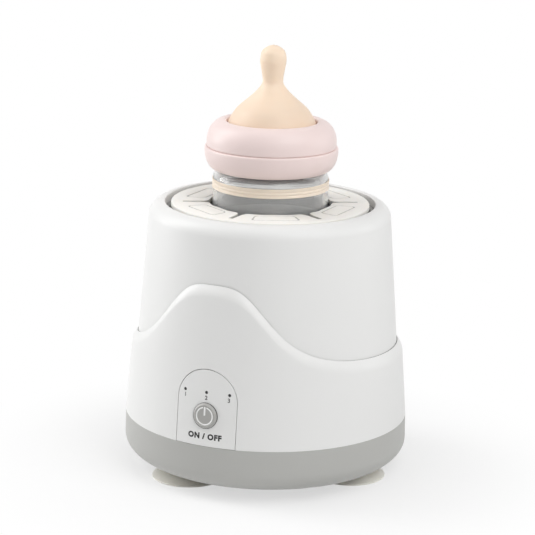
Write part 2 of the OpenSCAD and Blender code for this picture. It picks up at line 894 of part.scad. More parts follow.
// Rounded outline on a petal whose own -Y points outwards, grown by a distance
function petal_line(grow) =
    let (
        near = -petal_hole - line_in,
        lean = atan((line_far_w - line_near_w) / 2 / line_len),
        r = line_round + grow,
        high = near - line_round,
        low = near - line_len + line_round,
        high_x = line_near_w / 2 + (near - high) * tan(lean) - line_round / cos(lean),
        low_x = line_near_w / 2 + (near - low) * tan(lean) - line_round / cos(lean)
    )
    concat(
        arc(high_x, high, r, r, lean, 90, 4),
        arc(-high_x, high, r, r, 90, 180 - lean, 4),
        arc(-low_x, low, r, r, 180 - lean, 270, 4),
        arc(low_x, low, r, r, 270, 360 + lean, 4)
    );

module petal_sheet() {
    mouth = bottle_r + corner_gap;
    slit = grip_r - slit_end;
    difference() {
        circle(r = grip_r - slide_gap);
        intersection() {
            circle(r = mouth);
            rotate([0, 0, -90 + 180 / petals])
                circle(r = petal_hole / cos(180 / petals), $fn = petals);
        }
        for (k = [0:petals - 1])
            rotate([0, 0, -90 + (k + 0.5) * 360 / petals])
                polygon([
                    [bottle_r, -flare_w / 2],
                    [mouth, -flare_w / 2],
                    [mouth + flare_len, -slit_w / 2],
                    [slit, -slit_w / 2],
                    [slit, slit_w / 2],
                    [mouth + flare_len, slit_w / 2],
                    [mouth, flare_w / 2],
                    [bottle_r, flare_w / 2]
                ]);
    }
}

module grip_ring() {
    color(cream)
    translate([0, 0, grip_z])
        rotate([0, 0, petal_turn])
            difference() {
                linear_extrude(grip_t)
                    petal_sheet();
                for (k = [0:petals - 1])
                    rotate([0, 0, k * 360 / petals])
                        translate([0, 0, grip_t - line_deep])
                            linear_extrude(line_deep + over)
                                difference() {
                                    polygon(petal_line(line_w / 2));
                                    polygon(petal_line(-line_w / 2));
                                }
            }
}

module flange_ring() {
    color(grey)
    difference() {
        ring(grip_r, flange_in, cup_top, grip_z);
        for (a = flange_spots)
            spot(a, flange_screw_reach, cup_top - over)
                cylinder(d = small_d + 2 * pilot_gap, h = over + flange_bite + bite_room);
    }
}

module flange_screws() {
    color(steel)
    for (a = flange_spots)
        spot(a, flange_screw_reach, lip_z)
            rotate([180, 0, 0])
                screw(small_d, cup_lip + flange_bite, small_head_d, small_head_h);
}

module guide_ring() {
    inner = grip_r + spin_gap;
    step_z = body_h - lip_h;
    color(grey)
    difference() {
        rotate_extrude()
            polygon([
                [inner, guide_bottom],
                [mouth_r + wall, guide_bottom],
                [mouth_r + wall, step_z],
                [mouth_r - press_gap, step_z],
                [mouth_r - press_gap, body_h - guide_low],
                [inner, body_h - guide_low]
            ]);
        for (a = guide_spots)
            spot(a, guide_screw_reach, guide_bottom - over)
                cylinder(d = small_d / 2 + 2 * screw_gap, h = guide_foot + 2 * over);
    }
}

module guide_screws() {
    color(steel)
    for (a = guide_spots)
        spot(a, guide_screw_reach, guide_bottom)
            rotate([180, 0, 0])
                screw(small_d / 2, guide_foot + small_bite, small_d, small_head_h);
}

module bottle_cup() {
    color(dark)
    ring(cup_r, cup_in, pad_z, flare_z);
}

module cup_funnel() {
    color(dark)
    difference() {
        rotate_extrude()
            polygon([
                [cup_in, flare_z],
                [cup_r, flare_z],
                [flange_in + cup_wall / 2, lip_z],
                [cup_lip_r, lip_z],
                [cup_lip_r, cup_top],
                [flange_in, cup_top],
                [flange_in, lip_z]
            ]);
        for (a = flange_spots)
            spot(a, flange_screw_reach, lip_z - over)
                cylinder(d = small_d + 2 * screw_gap, h = cup_lip + 2 * over);
    }
}

module cup_plate() {
    color(dark)
    difference() {
        union() {
            translate([0, 0, cup_z])
                cylinder(r = cup_r, h = cup_floor);
            translate([0, 0, gear_top])
                cylinder(r = spindle_r + post_wall, h = cup_boss_h + over);
            for (a = [0, 120, 240])
                spot(a, gear_screw_reach, gear_top)
                    cylinder(r = post_r, h = cup_boss_h + over);
        }
        translate([0, 0, gear_top - over])
            cylinder(r = spindle_r + press_gap, h = cup_boss_h + 2 * over);
        for (a = [0, 120, 240])
            spot(a, gear_screw_reach, gear_top - over)
                cylinder(d = screw_d + 2 * pilot_gap, h = cup_boss_h + 2 * over);
    }
}

module cup_pad() {
    color(grey)
    ring(cup_in - shell_gap, spindle_r, pad_z, bottle_z);
}

// Drive

module spindle() {
    color(steel)
    translate([0, 0, floor_z + spindle_room])
        cylinder(r = spindle_r, h = cup_z + over - floor_z - 2 * spindle_room);
}

module spindle_clip() {
    color(steel)
    ring(spindle_r + clip_w, spindle_r + press_gap, bearing_z - clip_t - press_gap, bearing_z - press_gap);
}

module bearing_outer() {
    color(steel)
    ring(bearing_r, race_out, bearing_z, bearing_top);
}

module bearing_inner() {
    color(steel)
    ring(race_in, spindle_r + press_gap, bearing_z, bearing_top);
}

module bearing_balls() {
    color(steel)
    for (k = [0:balls - 1])
        spot(360 * k / balls, (race_in + race_out) / 2, bearing_z + bearing_w / 2)
            sphere(r = ball_r);
}

module driven_gear() {
    color(cream)
    difference() {
        union() {
            translate([0, 0, gear_z])
                linear_extrude(gear_w)
                    rotate([0, 0, 180 / gear_teeth])
                        gear_outline(gear_teeth, 0.72 * gear_module, 1.2 * gear_module);
            translate([0, 0, bearing_top])
                cylinder(r = race_in - shell_gap, h = gear_gap + over);
        }
        cylinder(r = spindle_r + press_gap, h = gear_top + over);
        for (a = [0, 120, 240])
            spot(a, gear_screw_reach) {
                cylinder(d = screw_d + 2 * screw_gap, h = gear_top + over);
                cylinder(d = head_d + 2 * screw_gap, h = gear_z + head_h + head_sink);
            }
        for (k = [0:5])
            spot(60 * k + 30, (gear_r + gear_screw_reach + head_d / 2) / 2)
                cylinder(r = gear_module * 3, h = gear_top + over);
    }
}

module gear_screws() {
    color(steel)
    for (a = [0, 120, 240])
        spot(a, gear_screw_reach, gear_z + head_h + head_sink)
            rotate([180, 0, 0])
                screw(screw_d, cup_z + over - bite_room - gear_z - head_h - head_sink, head_d, head_h);
}

module drive_pinion() {
    color(brass)
    spot(motor_spot, motor_reach, gear_z - pinion_over)
        difference() {
            linear_extrude(gear_w + 2 * pinion_over)
                rotate([0, 0, 90 + 180 * (pinion_teeth % 2) / pinion_teeth])
                    gear_outline(pinion_teeth, gear_module, 1.2 * gear_module);
            translate([0, 0, -over])
                cylinder(d = shaft_d + 2 * press_gap, h = gear_w + 2 * pinion_over + 2 * over);
        }
}

module motor_shaft() {
    color(steel)
    spot(motor_spot, motor_reach, gear_z - shaft_over)
        cylinder(d = shaft_d, h = deck_top + shaft_depth - gear_z + shaft_over);
}

module motor_can() {
    color(steel)
    spot(motor_spot, motor_reach, deck_top)
        difference() {
            union() {
                cylinder(d = motor_d, h = motor_len);
                translate([0, 0, -motor_boss_h])
                    cylinder(d = motor_boss_d, h = motor_boss_h + over);
            }
            translate([0, 0, -motor_boss_h - over])
                cylinder(d = shaft_d + 2 * slide_gap, h = motor_boss_h + over + shaft_depth + shell_gap);
            for (x = [-motor_screw_x, motor_screw_x])
                translate([x, 0, -over])
                    cylinder(d = small_d + 2 * pilot_gap, h = over + small_bite + bite_room);
        }
}

module motor_cap() {
    color(dark)
    spot(motor_spot, motor_reach, deck_top + motor_len) {
        cylinder(d = motor_d - 2 * cap_step, h = motor_cap);
        for (x = [-1, 1])
            translate([x * motor_d / 4 - tag_w / 2, -tag_t / 2, motor_cap / 2])
                cube([tag_w, tag_t, motor_cap / 2 + tag_h]);
    }
}

module motor_screws() {
    color(steel)
    spot(motor_spot, motor_reach, deck_z)
        for (x = [-motor_screw_x, motor_screw_x])
            translate([x, 0, 0])
                rotate([180, 0, 0])
                    screw(small_d, deck_t + small_bite, small_head_d, small_head_h);
}

module drive_deck() {
    color(grey)
    difference() {
        union() {
            ring(deck_r, cup_r + deck_room, deck_z, deck_top);
            spot(cell_spot, holder_screw_reach, deck_z)
                cylinder(r = small_post_r, h = deck_t);
            spot(cell_spot, 0, deck_z)
                translate([-small_post_r, -holder_screw_reach, 0])
                    cube([2 * small_post_r, holder_screw_reach - cup_r - deck_room, deck_t]);
        }
        for (a = deck_spots)
            spot(a, deck_post_reach, deck_z - over)
                cylinder(d = screw_d + 2 * screw_gap, h = deck_t + 2 * over);
        spot(motor_spot, motor_reach, deck_z - over) {
            cylinder(d = motor_boss_d + 2 * slide_gap, h = deck_t + 2 * over);
            for (x = [-motor_screw_x, motor_screw_x])
                translate([x, 0, 0])
                    cylinder(d = small_d + 2 * screw_gap, h = deck_t + 2 * over);
        }
        spot(cell_spot, holder_screw_reach, deck_z - over)
            cylinder(d = small_d + 2 * pilot_gap, h = deck_t + 2 * over);
    }
}

module deck_screws() {
    color(steel)
    for (a = deck_spots)
        spot(a, deck_post_reach, deck_top)
            screw(screw_d, deck_t + deck_bite, head_d, head_h);
}

// Power

module battery_holder() {
    color(dark)
    difference() {
        union() {
            spot(cell_spot, 0, deck_top)
                translate([-tab_w / 2, -tab_out, 0])
                    cube([tab_w, tab_out - cell_reach - cell_r / 2, tab_t]);
            for (turn = [-cell_turn, cell_turn])
                spot(cell_spot + turn, cell_reach, deck_top)
                    cylinder(r = cell_socket_r, h = socket_wall + socket_h);
        }
        for (turn = [-cell_turn, cell_turn])
            spot(cell_spot + turn, cell_reach, cell_z)
                cylinder(r = cell_r + slide_gap, h = socket_h + over);
        spot(cell_spot, holder_screw_reach, deck_top - over)
            cylinder(d = small_d + 2 * screw_gap, h = tab_t + 2 * over);
    }
}

module holder_screw() {
    color(steel)
    spot(cell_spot, holder_screw_reach, deck_top + tab_t)
        screw(small_d, tab_t + deck_t, small_head_d, small_head_h);
}

module battery_cell(turn) {
    color(pink)
    spot(cell_spot + turn, cell_reach, cell_z) {
        cylinder(r = cell_r, h = cell_len - cell_tip);
        cylinder(r = cell_r / 3, h = cell_len);
    }
}

module charge_board() {
    color(green)
    difference() {
        translate([-charge_w / 2, charge_end - charge_len, charge_z])
            cube([charge_w, charge_len, board_t]);
        for (x = [-charge_screw_x, charge_screw_x])
            translate([x, charge_screw_y, charge_z - over])
                cylinder(d = small_d + 2 * screw_gap, h = board_t + 2 * over);
    }
}

module charge_screws() {
    color(steel)
    for (x = [-charge_screw_x, charge_screw_x])
        translate([x, charge_screw_y, charge_z + board_t])
            screw(small_d, board_t + small_bite, small_head_d, small_head_h);
}

module charge_socket() {
    color(steel)
    translate([0, base_r - plug_in, plug_z])
        rotate([90, 0, 0])
            difference() {
                linear_extrude(plug_len)
                    stadium(plug_w, plug_h);
                translate([0, 0, -over])
                    linear_extrude(plug_len)
                        stadium(plug_w - 2 * plug_wall, plug_h - 2 * plug_wall);
            }
}

module housing_screws() {
    color(steel)
    for (a = boss_spots)
        spot(a, boss_reach, base_arc_z)
            rotate([180, 0, 0])
                screw(screw_d, house_z + boss_bite - base_arc_z, head_d, head_h);
}

// Bottle

bottle_outer = concat(
    [[0, bottle_z]],
    arc(bottle_r - heel_r, bottle_z + heel_r, heel_r, heel_r, -90, 0, 8),
    arc(neck_r, shoulder_z, shoulder_arc, shoulder_arc, 0, 90, 8),
    [[neck_r, neck_top]]
);
bottle_inner = concat(
    [[neck_r - glass_t, neck_top]],
    [[neck_r - glass_t, shoulder_z + shoulder_arc - glass_t]],
    arc(neck_r - glass_t, shoulder_z - glass_t, shoulder_arc, shoulder_arc, 90, 0, 8),
    arc(bottle_r - heel_r - glass_t, bottle_z + heel_r + glass_t, heel_r, heel_r, 0, -90, 8),
    [[0, bottle_z + glass_t]]
);

module bottle_body() {
    color(clear)
    rotate_extrude()
        polygon(concat(bottle_outer, bottle_inner));
}

module neck_band() {
    top = shoulder_z - band_low;
    color(amber)
    ring(bottle_r + press_gap + band_t, bottle_r + press_gap, top - band_h, top);
}

module collar_lower() {
    curve_in = collar_r - collar_bore - collar_foot;
    curve_h = collar_low_h - collar_side;
    color(pink)
    rotate_extrude()
        polygon(concat(
            [[collar_bore, collar_z]],
            arc(collar_r - curve_in, collar_z + curve_h, curve_in, curve_h, -90, 0, 10),
            [[collar_r, collar_seam - collar_edge], [collar_r - collar_edge, collar_seam]],
            [[collar_bore, collar_seam]]
        ));
}

module collar_upper() {
    side = collar_r - collar_step;
    dome_w = side - collar_hole_r - dome_flat;
    dome_h = collar_top_h - dome_side;
    top = collar_seam + collar_top_h;
    color(pink)
    rotate_extrude()
        polygon(concat(
            [[collar_bore, collar_seam], [side, collar_seam]],
            arc(side - dome_w, top - dome_h, dome_w, dome_h, 0, 90, 10),
            [[collar_hole_r, top - dome_edge], [collar_hole_r, teat_z + slide_gap]],
            [[collar_bore, teat_z + slide_gap]]
        ));
}

// Teat outline from its flange to its tip, as shares of its base radius and its height
teat_shape = [
    [1, 0], [1, 0.148], [0.92, 0.239], [0.793, 0.325], [0.581, 0.413], [0.384, 0.499], [0.253, 0.58],
    [0.235, 0.64], [0.263, 0.73], [0.298, 0.84], [0.258, 0.936], [0.126, 0.986]
];
// Outline whose inner wall follows it, a little lower on the slope
teat_hollow = [
    [1, 0], [1, 0.134], [0.92, 0.219], [0.793, 0.297], [0.581, 0.38], [0.384, 0.472], [0.253, 0.573],
    [0.235, 0.64], [0.263, 0.73], [0.298, 0.84], [0.253, 0.912]
];

module teat() {
    hole = teat_hole / 2;
    edge = collar_bore - neck_gap / 2;
    outer_keys = [for (p = teat_shape) [p[0] * teat_r, p[1] * teat_h]];
    inner_keys = [for (p = teat_hollow) [p[0] * teat_r - teat_wall, p[1] * teat_h]];
    outer = curve(concat(outer_keys, [[hole, teat_h]]), 4);
    inner = curve(concat(inner_keys, [[hole + teat_wall, teat_h - teat_wall]]), 4);
    back = [for (i = [len(inner) - 1:-1:0]) inner[i]];
    color(amber)
    translate([0, 0, teat_z])
        rotate_extrude()
            polygon(concat(
                [[teat_r - teat_wall, -teat_flange], [edge, -teat_flange], [edge, 0]],
                outer,
                [[hole, teat_h - teat_wall]],
                back
            ));
}

base_tray();
wave_skirt();
upper_housing();
control_panel();
for (i = [0:2])
    suction_foot(foot_spots[i]);
power_button();
switch_stem();
push_switch();
main_board();
board_screws();
for (i = [0:2])
    light_pipe(light_spots[i]);
for (i = [0:2])
    lamp(light_spots[i]);
grip_ring();
flange_ring();
flange_screws();
guide_ring();
guide_screws();
bottle_cup();
cup_funnel();
cup_plate();
cup_pad();
spindle();
spindle_clip();
bearing_outer();
bearing_inner();
bearing_balls();
driven_gear();
gear_screws();
drive_pinion();
motor_shaft();
motor_can();
motor_cap();
motor_screws();
drive_deck();
deck_screws();
battery_holder();
holder_screw();
for (i = [0:1])
    battery_cell((2 * i - 1) * cell_turn);
charge_board();
charge_screws();
charge_socket();
housing_screws();
bottle_body();
neck_band();
collar_lower();
collar_upper();
teat();
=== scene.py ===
import json
import math

import bmesh
import bpy
from mathutils import Matrix, Vector


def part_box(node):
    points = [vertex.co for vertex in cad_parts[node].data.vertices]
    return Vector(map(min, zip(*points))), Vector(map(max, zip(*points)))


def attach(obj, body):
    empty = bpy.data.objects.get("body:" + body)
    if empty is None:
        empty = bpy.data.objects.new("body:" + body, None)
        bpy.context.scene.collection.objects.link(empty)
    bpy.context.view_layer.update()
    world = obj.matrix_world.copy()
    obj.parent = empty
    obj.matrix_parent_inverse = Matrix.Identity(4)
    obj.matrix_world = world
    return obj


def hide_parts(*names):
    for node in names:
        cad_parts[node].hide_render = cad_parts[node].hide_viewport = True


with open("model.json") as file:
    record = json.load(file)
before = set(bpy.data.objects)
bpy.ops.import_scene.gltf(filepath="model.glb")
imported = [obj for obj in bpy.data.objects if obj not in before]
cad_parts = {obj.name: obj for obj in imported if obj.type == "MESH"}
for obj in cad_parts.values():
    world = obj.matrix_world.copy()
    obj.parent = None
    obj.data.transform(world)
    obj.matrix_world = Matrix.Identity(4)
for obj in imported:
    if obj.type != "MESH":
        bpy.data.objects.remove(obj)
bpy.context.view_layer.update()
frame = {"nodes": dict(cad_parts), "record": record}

# Sizes in metres, the same as in the solids

MM = 0.001
BASE_R = 64.6 * MM
RIM_R = 64.4 * MM
SEAM_Z = 25.5 * MM
FOOT_H = 4 * MM
BASE_ROUND_W = 16 * MM
BASE_ROUND_H = 10.5 * MM
BODY_H = 123 * MM
DRAFT = math.radians(4.5)
LEDGE_W = 2.45 * MM
SHOULDER_R = 6.5 * MM
RIM_FLAT = 0.8 * MM
LIP_H = 11 * MM
WALL = 2.2 * MM
HOUSE_Z = 27.5 * MM
SHELL_GAP = 0.3 * MM
BOSS_REACH = 55.5 * MM
SCREW_HOLE_R = 2.9 * MM
WAVE_LOW = 60 * MM
WAVE_RISE = 36.6 * MM
WAVE_HALF = 28.2  # degrees
WAVE_POWER = 3.3
WAVE_STEPS = 480
EDGE_DROP = 3.2 * MM
EDGE_ROUND = 2.2 * MM
LIP_ROUND = 0.4 * MM
PANEL_R = 14.2 * MM
ARCH_Z = 45.6 * MM
BUTTON_Z = 39.3 * MM
BUTTON_R = 5.7 * MM
BUTTON_OUT = 1.2 * MM
GUIDE_R = 5.85 * MM
GUIDE_LEN = 5.5 * MM
LIGHT_X = 10.7 * MM
LIGHT_UP = 10.4 * MM
LIGHT_R = 0.7 * MM
BUTTON_BEVEL = 0.9 * MM
GRIP_GAP = 2.5 * MM
GRIP_PLAY = 0.15 * MM
SEAT_IN = 5.35 * MM
BALLS = 7
PETALS = 6
PETAL_TURN = math.radians(28.5)
SLIT_W = 1.8 * MM
FLARE_W = 4.4 * MM
FLARE_LEN = 5 * MM
BOTTLE_R = 26 * MM
NECK_R = 22.3 * MM
GLASS_T = 2 * MM
CUP_GAP = 2 * MM
CUP_WALL = 2 * MM
COLLAR_BORE = 23.5 * MM
TEAT_R = 19.8 * MM
TEAT_WALL = 1.6 * MM
TEAT_HOLE = 0.6 * MM
TEAT_FLANGE = 2 * MM

grip_low, grip_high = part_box("grip_ring")
cup_low, cup_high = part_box("bottle_cup")
funnel_low, funnel_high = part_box("cup_funnel")
pad_low, pad_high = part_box("cup_pad")
flange_low, flange_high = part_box("flange_ring")
guide_low, guide_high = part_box("guide_ring")
bottle_low, bottle_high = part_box("bottle_body")
band_low, band_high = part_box("neck_band")
ring_low, ring_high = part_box("collar_lower")
dome_low, dome_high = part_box("collar_upper")
teat_low, teat_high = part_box("teat")
plug_low, plug_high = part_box("charge_socket")
balls_low, balls_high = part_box("bearing_balls")


def skirt_r(z):
    """Outer radius of the skirt at a height."""
    return RIM_R - math.tan(DRAFT) * (z - SEAM_Z)


def house_r(z):
    """Outer radius of the upper housing at a height."""
    return skirt_r(z) - LEDGE_W


def wave_z(angle):
    """Height of the skirt's edge at an angle from the front, in degrees."""
    return WAVE_LOW + WAVE_RISE / (1 + (abs(angle) / WAVE_HALF) ** WAVE_POWER)


# Mesh helpers


def arc(x, z, rx, rz, start, end, steps):
    """Points on an ellipse between two angles in degrees."""
    turns = [math.radians(start + (end - start) * i / steps) for i in range(steps + 1)]
    return [(x + rx * math.cos(t), z + rz * math.sin(t)) for t in turns]


def rounded(corners, steps=6):
    """Rounds the corners of a closed outline. Each corner is (x, z, radius)."""
    points = []
    count = len(corners)
    for i, (x, z, radius) in enumerate(corners):
        here = Vector((x, z))
        if radius == 0:
            points.append((x, z))
            continue
        to_last = (Vector(corners[i - 1][:2]) - here).normalized()
        to_next = (Vector(corners[(i + 1) % count][:2]) - here).normalized()
        half = to_last.angle(to_next) / 2
        centre = here + (to_last + to_next).normalized() * (radius / math.sin(half))
        first = here + to_last * (radius / math.tan(half)) - centre
        last = here + to_next * (radius / math.tan(half)) - centre
        start = math.atan2(first.y, first.x)
        sweep = math.atan2(last.y, last.x) - start
        sweep = (sweep + math.pi) % (2 * math.pi) - math.pi
        for k in range(steps + 1):
            turn = start + sweep * k / steps
            points.append((centre.x + radius * math.cos(turn), centre.y + radius * math.sin(turn)))
    return points


def smooth_curve(keys, steps):
    """A smooth line through a few points."""
    points = []
    for i in range(len(keys) - 1):
        a = Vector(keys[max(i - 1, 0)])
        b = Vector(keys[i])
        c = Vector(keys[i + 1])
        d = Vector(keys[min(i + 2, len(keys) - 1)])
        square = 2 * a - 5 * b + 4 * c - d
        cube = 3 * b - a - 3 * c + d
        for k in range(steps):
            t = k / steps
            p = 0.5 * (2 * b + (c - a) * t + square * t * t + cube * t ** 3)
            points.append((p.x, p.y))
    points.append(tuple(keys[-1]))
    return points


def new_object(name, mesh):
    """Links a mesh into the scene as an object."""
    piece = bpy.data.objects.new(name, mesh)
    bpy.context.scene.collection.objects.link(piece)
    return piece


def finish_mesh(name, bm, sharp=35):
    """Turns a bmesh into an object with smooth faces and sharp corners."""
    bmesh.ops.remove_doubles(bm, verts=bm.verts, dist=1e-7)
    bmesh.ops.dissolve_degenerate(bm, edges=bm.edges, dist=1e-8)
    bmesh.ops.recalc_face_normals(bm, faces=bm.faces)
    mesh = bpy.data.meshes.new(name)
    bm.to_mesh(mesh)
    bm.free()
    smooth(mesh, sharp)
    return new_object(name, mesh)


def smooth(mesh, sharp=35):
    """Smooth shading with sharp edges past an angle in degrees."""
    mesh.shade_smooth()
    mesh.set_sharp_from_angle(angle=math.radians(sharp))


def ring_grid(bm, rings):
    """Joins closed rings of points, each the same length, into a closed tube."""
    rows = [[bm.verts.new(p) for p in ring] for ring in rings]
    count = len(rows)
    size = len(rows[0])
    for i in range(count):
        for j in range(size):
            bm.faces.new((rows[i][j], rows[(i + 1) % count][j],
                          rows[(i + 1) % count][(j + 1) % size], rows[i][(j + 1) % size]))


def lathe(name, outline, segments=192, sharp=35):
    """Turns a closed outline of (radius, height) points round the Z axis."""
    bm = bmesh.new()
    rings = []
    for i in range(segments):
        turn = 2 * math.pi * i / segments
        rings.append([(max(r, 0) * math.sin(turn), -max(r, 0) * math.cos(turn), z) for r, z in outline])
    ring_grid(bm, rings)
    return finish_mesh(name, bm, sharp)


def extrude(bm, outline, low, high):
    """Adds a flat outline of (x, y) points between two heights."""
    bottom = [bm.verts.new((x, y, low)) for x, y in outline]
    top = [bm.verts.new((x, y, high)) for x, y in outline]
    count = len(outline)
    bm.faces.new(bottom)
    bm.faces.new(top)
    for i in range(count):
        bm.faces.new((bottom[i], bottom[(i + 1) % count], top[(i + 1) % count], top[i]))


def prism(name, outline, low, high):
    """A piece with a flat outline of (x, y) points between two heights."""
    bm = bmesh.new()
    extrude(bm, outline, low, high)
    return finish_mesh(name, bm)


def plain_ring(name, low, high, inner, outer, edge):
    """A ring with eased edges."""
    corners = [(inner, low, edge), (outer, low, edge), (outer, high, edge), (inner, high, edge)]
    return lathe(name, rounded(corners, 4))


def circle_points(x, y, r, steps=48):
    """Points of a circle."""
    return arc(x, y, r, r, 0, 360, steps)[:-1]


def cut(piece, tool, operation="DIFFERENCE"):
    """Applies a boolean and removes its tool."""
    modifier = piece.modifiers.new("cut", "BOOLEAN")
    modifier.operation = operation
    modifier.solver = "EXACT"
    modifier.object = tool
    bpy.context.view_layer.objects.active = piece
    bpy.ops.object.modifier_apply(modifier=modifier.name)
    bpy.data.objects.remove(tool)
    smooth(piece.data)


def place(piece, matrix):
    """Moves a piece's mesh, so that its object stays at the origin."""
    piece.data.transform(matrix)
    piece.data.update()


def on_body(piece, body, material, *nodes, slot=None):
    """Gives a piece its material and body, and the nodes it stands for."""
    piece.data.materials.clear()
    piece.data.materials.append(material)
    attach(piece, body)
    if nodes:
        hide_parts(*nodes)


# Panel frame: its origin on the skirt's face at the button, its Z out of the face

PANEL_FRAME = (
    Matrix.Translation((0, -skirt_r(BUTTON_Z), BUTTON_Z))
    @ Matrix.Rotation(math.pi / 2 - DRAFT, 4, "X")
)
ARCH_UP = (ARCH_Z - BUTTON_Z) / math.cos(DRAFT)
SEAM_DOWN = (SEAM_Z - BUTTON_Z) / math.cos(DRAFT)
PANEL_LOW = SEAM_DOWN - 4 * MM
CUT_FRONT = 6 * MM


def arch_outline(grow):
    """Outline of the control panel in the panel frame, drawn down past the seam."""
    half = PANEL_R + grow
    return [(-half, PANEL_LOW), (half, PANEL_LOW)] + arc(0, ARCH_UP, half, half, 0, 180, 49)


def cut_on_panel(piece, outline, low, high, operation="DIFFERENCE"):
    """Cuts a piece with an outline in the panel frame, between two heights over the face."""
    tool = prism("tool", outline, low, high)
    place(tool, PANEL_FRAME)
    cut(piece, tool, operation)


def on_face(x, up, lift):
    """A point on the skirt's face, from its place in the panel frame."""
    z = BUTTON_Z + up * math.cos(DRAFT)
    r = skirt_r(z) + lift
    turn = x / skirt_r(BUTTON_Z)
    return (r * math.sin(turn), -r * math.cos(turn), z)


# Materials


def principled(name):
    """A new node material and its main shader."""
    material = bpy.data.materials.new(name)
    material.use_nodes = True
    tree = material.node_tree
    return material, tree.nodes, tree.links, tree.nodes["Principled BSDF"]


def noise(nodes, links, scale, detail):
    """Noise in the piece's own coordinates."""
    where = nodes.new("ShaderNodeTexCoord")
    texture = nodes.new("ShaderNodeTexNoise")
    texture.inputs["Scale"].default_value = scale
    texture.inputs["Detail"].default_value = detail
    links.new(where.outputs["Object"], texture.inputs["Vector"])
    return texture.outputs["Fac"]


def uneven_gloss(nodes, links, shader, pattern, low, high):
    """Roughness that goes from one value to another with a pattern."""
    gloss = nodes.new("ShaderNodeMapRange")
    gloss.inputs["To Min"].default_value = low
    gloss.inputs["To Max"].default_value = high
    links.new(pattern, gloss.inputs["Value"])
    links.new(gloss.outputs["Result"], shader.inputs["Roughness"])


def fine_relief(nodes, links, shader, pattern, strength, depth):
    """Slight relief on a surface, with a pattern as its height."""
    bump = nodes.new("ShaderNodeBump")
    bump.inputs["Strength"].default_value = strength
    bump.inputs["Distance"].default_value = depth
    links.new(pattern, bump.inputs["Height"])
    links.new(bump.outputs["Normal"], shader.inputs["Normal"])


def combine(nodes, links, operation, first, second):
    """The result of a math node on two values."""
    result = nodes.new("ShaderNodeMath")
    result.operation = operation
    links.new(first, result.inputs[0])
    links.new(second, result.inputs[1])
    return result.outputs["Value"]


def shade(colour, factor):
    """A colour made lighter or darker, as RGBA."""
    return tuple(min(c * factor, 1) for c in colour) + (1,)


def moulded(name, colour, rough=0.45, vary=0.02, rough_vary=0.05, grain=1400, depth=0.00002, cloud=22):
    """Moulded plastic or rubber: faint clouding, uneven gloss and a fine skin texture."""
    material, nodes, links, shader = principled(name)
    ramp = nodes.new("ShaderNodeValToRGB")
    ramp.color_ramp.elements[0].position = 0.3
    ramp.color_ramp.elements[0].color = shade(colour, 1 - vary)
    ramp.color_ramp.elements[1].position = 0.7
    ramp.color_ramp.elements[1].color = shade(colour, 1 + vary)
    links.new(noise(nodes, links, cloud, 3), ramp.inputs["Fac"])
    links.new(ramp.outputs["Color"], shader.inputs["Base Color"])
    patches = noise(nodes, links, cloud * 6, 4)
    uneven_gloss(nodes, links, shader, patches, rough - rough_vary, rough + rough_vary)
    fine_relief(nodes, links, shader, noise(nodes, links, grain, 2), 0.3, depth)
    return material


def silicone(name, colour, rough, inside, reach, vary=0.02):
    """Soft translucent rubber: light spreads inside it."""
    material = moulded(name, colour, rough, vary, grain=900, depth=0.00003)
    shader = material.node_tree.nodes["Principled BSDF"]
    shader.inputs["Subsurface Weight"].default_value = inside
    shader.inputs["Subsurface Radius"].default_value = (1, 0.85, 0.7)
    shader.inputs["Subsurface Scale"].default_value = reach
    return material


def paint_shade_below(material, low, high, reach, darkest):
    """Paints shade into a material's colour: darker from one height down to another, within a reach of the
    Z axis.
    """
    nodes = material.node_tree.nodes
    links = material.node_tree.links
    colour = nodes["Principled BSDF"].inputs["Base Color"]
    source = colour.links[0].from_socket
    where = nodes.new("ShaderNodeTexCoord")
    axes = nodes.new("ShaderNodeSeparateXYZ")
    links.new(where.outputs["Object"], axes.inputs["Vector"])
    depth = nodes.new("ShaderNodeMapRange")
    depth.inputs["From Min"].default_value = low
    depth.inputs["From Max"].default_value = high
    depth.inputs["To Min"].default_value = darkest
    links.new(axes.outputs["Z"], depth.inputs["Value"])
    flat = nodes.new("ShaderNodeCombineXYZ")
    links.new(axes.outputs["X"], flat.inputs["X"])
    links.new(axes.outputs["Y"], flat.inputs["Y"])
    length = nodes.new("ShaderNodeVectorMath")
    length.operation = "LENGTH"
    links.new(flat.outputs["Vector"], length.inputs[0])
    beyond = nodes.new("ShaderNodeMath")
    beyond.operation = "GREATER_THAN"
    beyond.inputs[1].default_value = reach
    links.new(length.outputs["Value"], beyond.inputs[0])
    kept = combine(nodes, links, "MAXIMUM", depth.outputs["Result"], beyond.outputs["Value"])
    # Painted shade: the colour is scaled down towards the darkest share below the given height
    painted_shade = nodes.new("ShaderNodeVectorMath")
    painted_shade.operation = "SCALE"
    links.new(source, painted_shade.inputs["Vector"])
    links.new(kept, painted_shade.inputs["Scale"])
    links.new(painted_shade.outputs["Vector"], colour)


def metal(name, colour, rough, stretch):
    """Machined or plated metal with fine turning marks."""
    material, nodes, links, shader = principled(name)
    shader.inputs["Base Color"].default_value = shade(colour, 1)
    shader.inputs["Metallic"].default_value = 1
    where = nodes.new("ShaderNodeTexCoord")
    mapping = nodes.new("ShaderNodeMapping")
    mapping.inputs["Scale"].default_value = stretch
    texture = nodes.new("ShaderNodeTexNoise")
    texture.inputs["Scale"].default_value = 1
    texture.inputs["Detail"].default_value = 4
    links.new(where.outputs["Object"], mapping.inputs["Vector"])
    links.new(mapping.outputs["Vector"], texture.inputs["Vector"])
    uneven_gloss(nodes, links, shader, texture.outputs["Fac"], rough * 0.75, rough * 1.25)
    fine_relief(nodes, links, shader, texture.outputs["Fac"], 0.2, 0.00002)
    return material


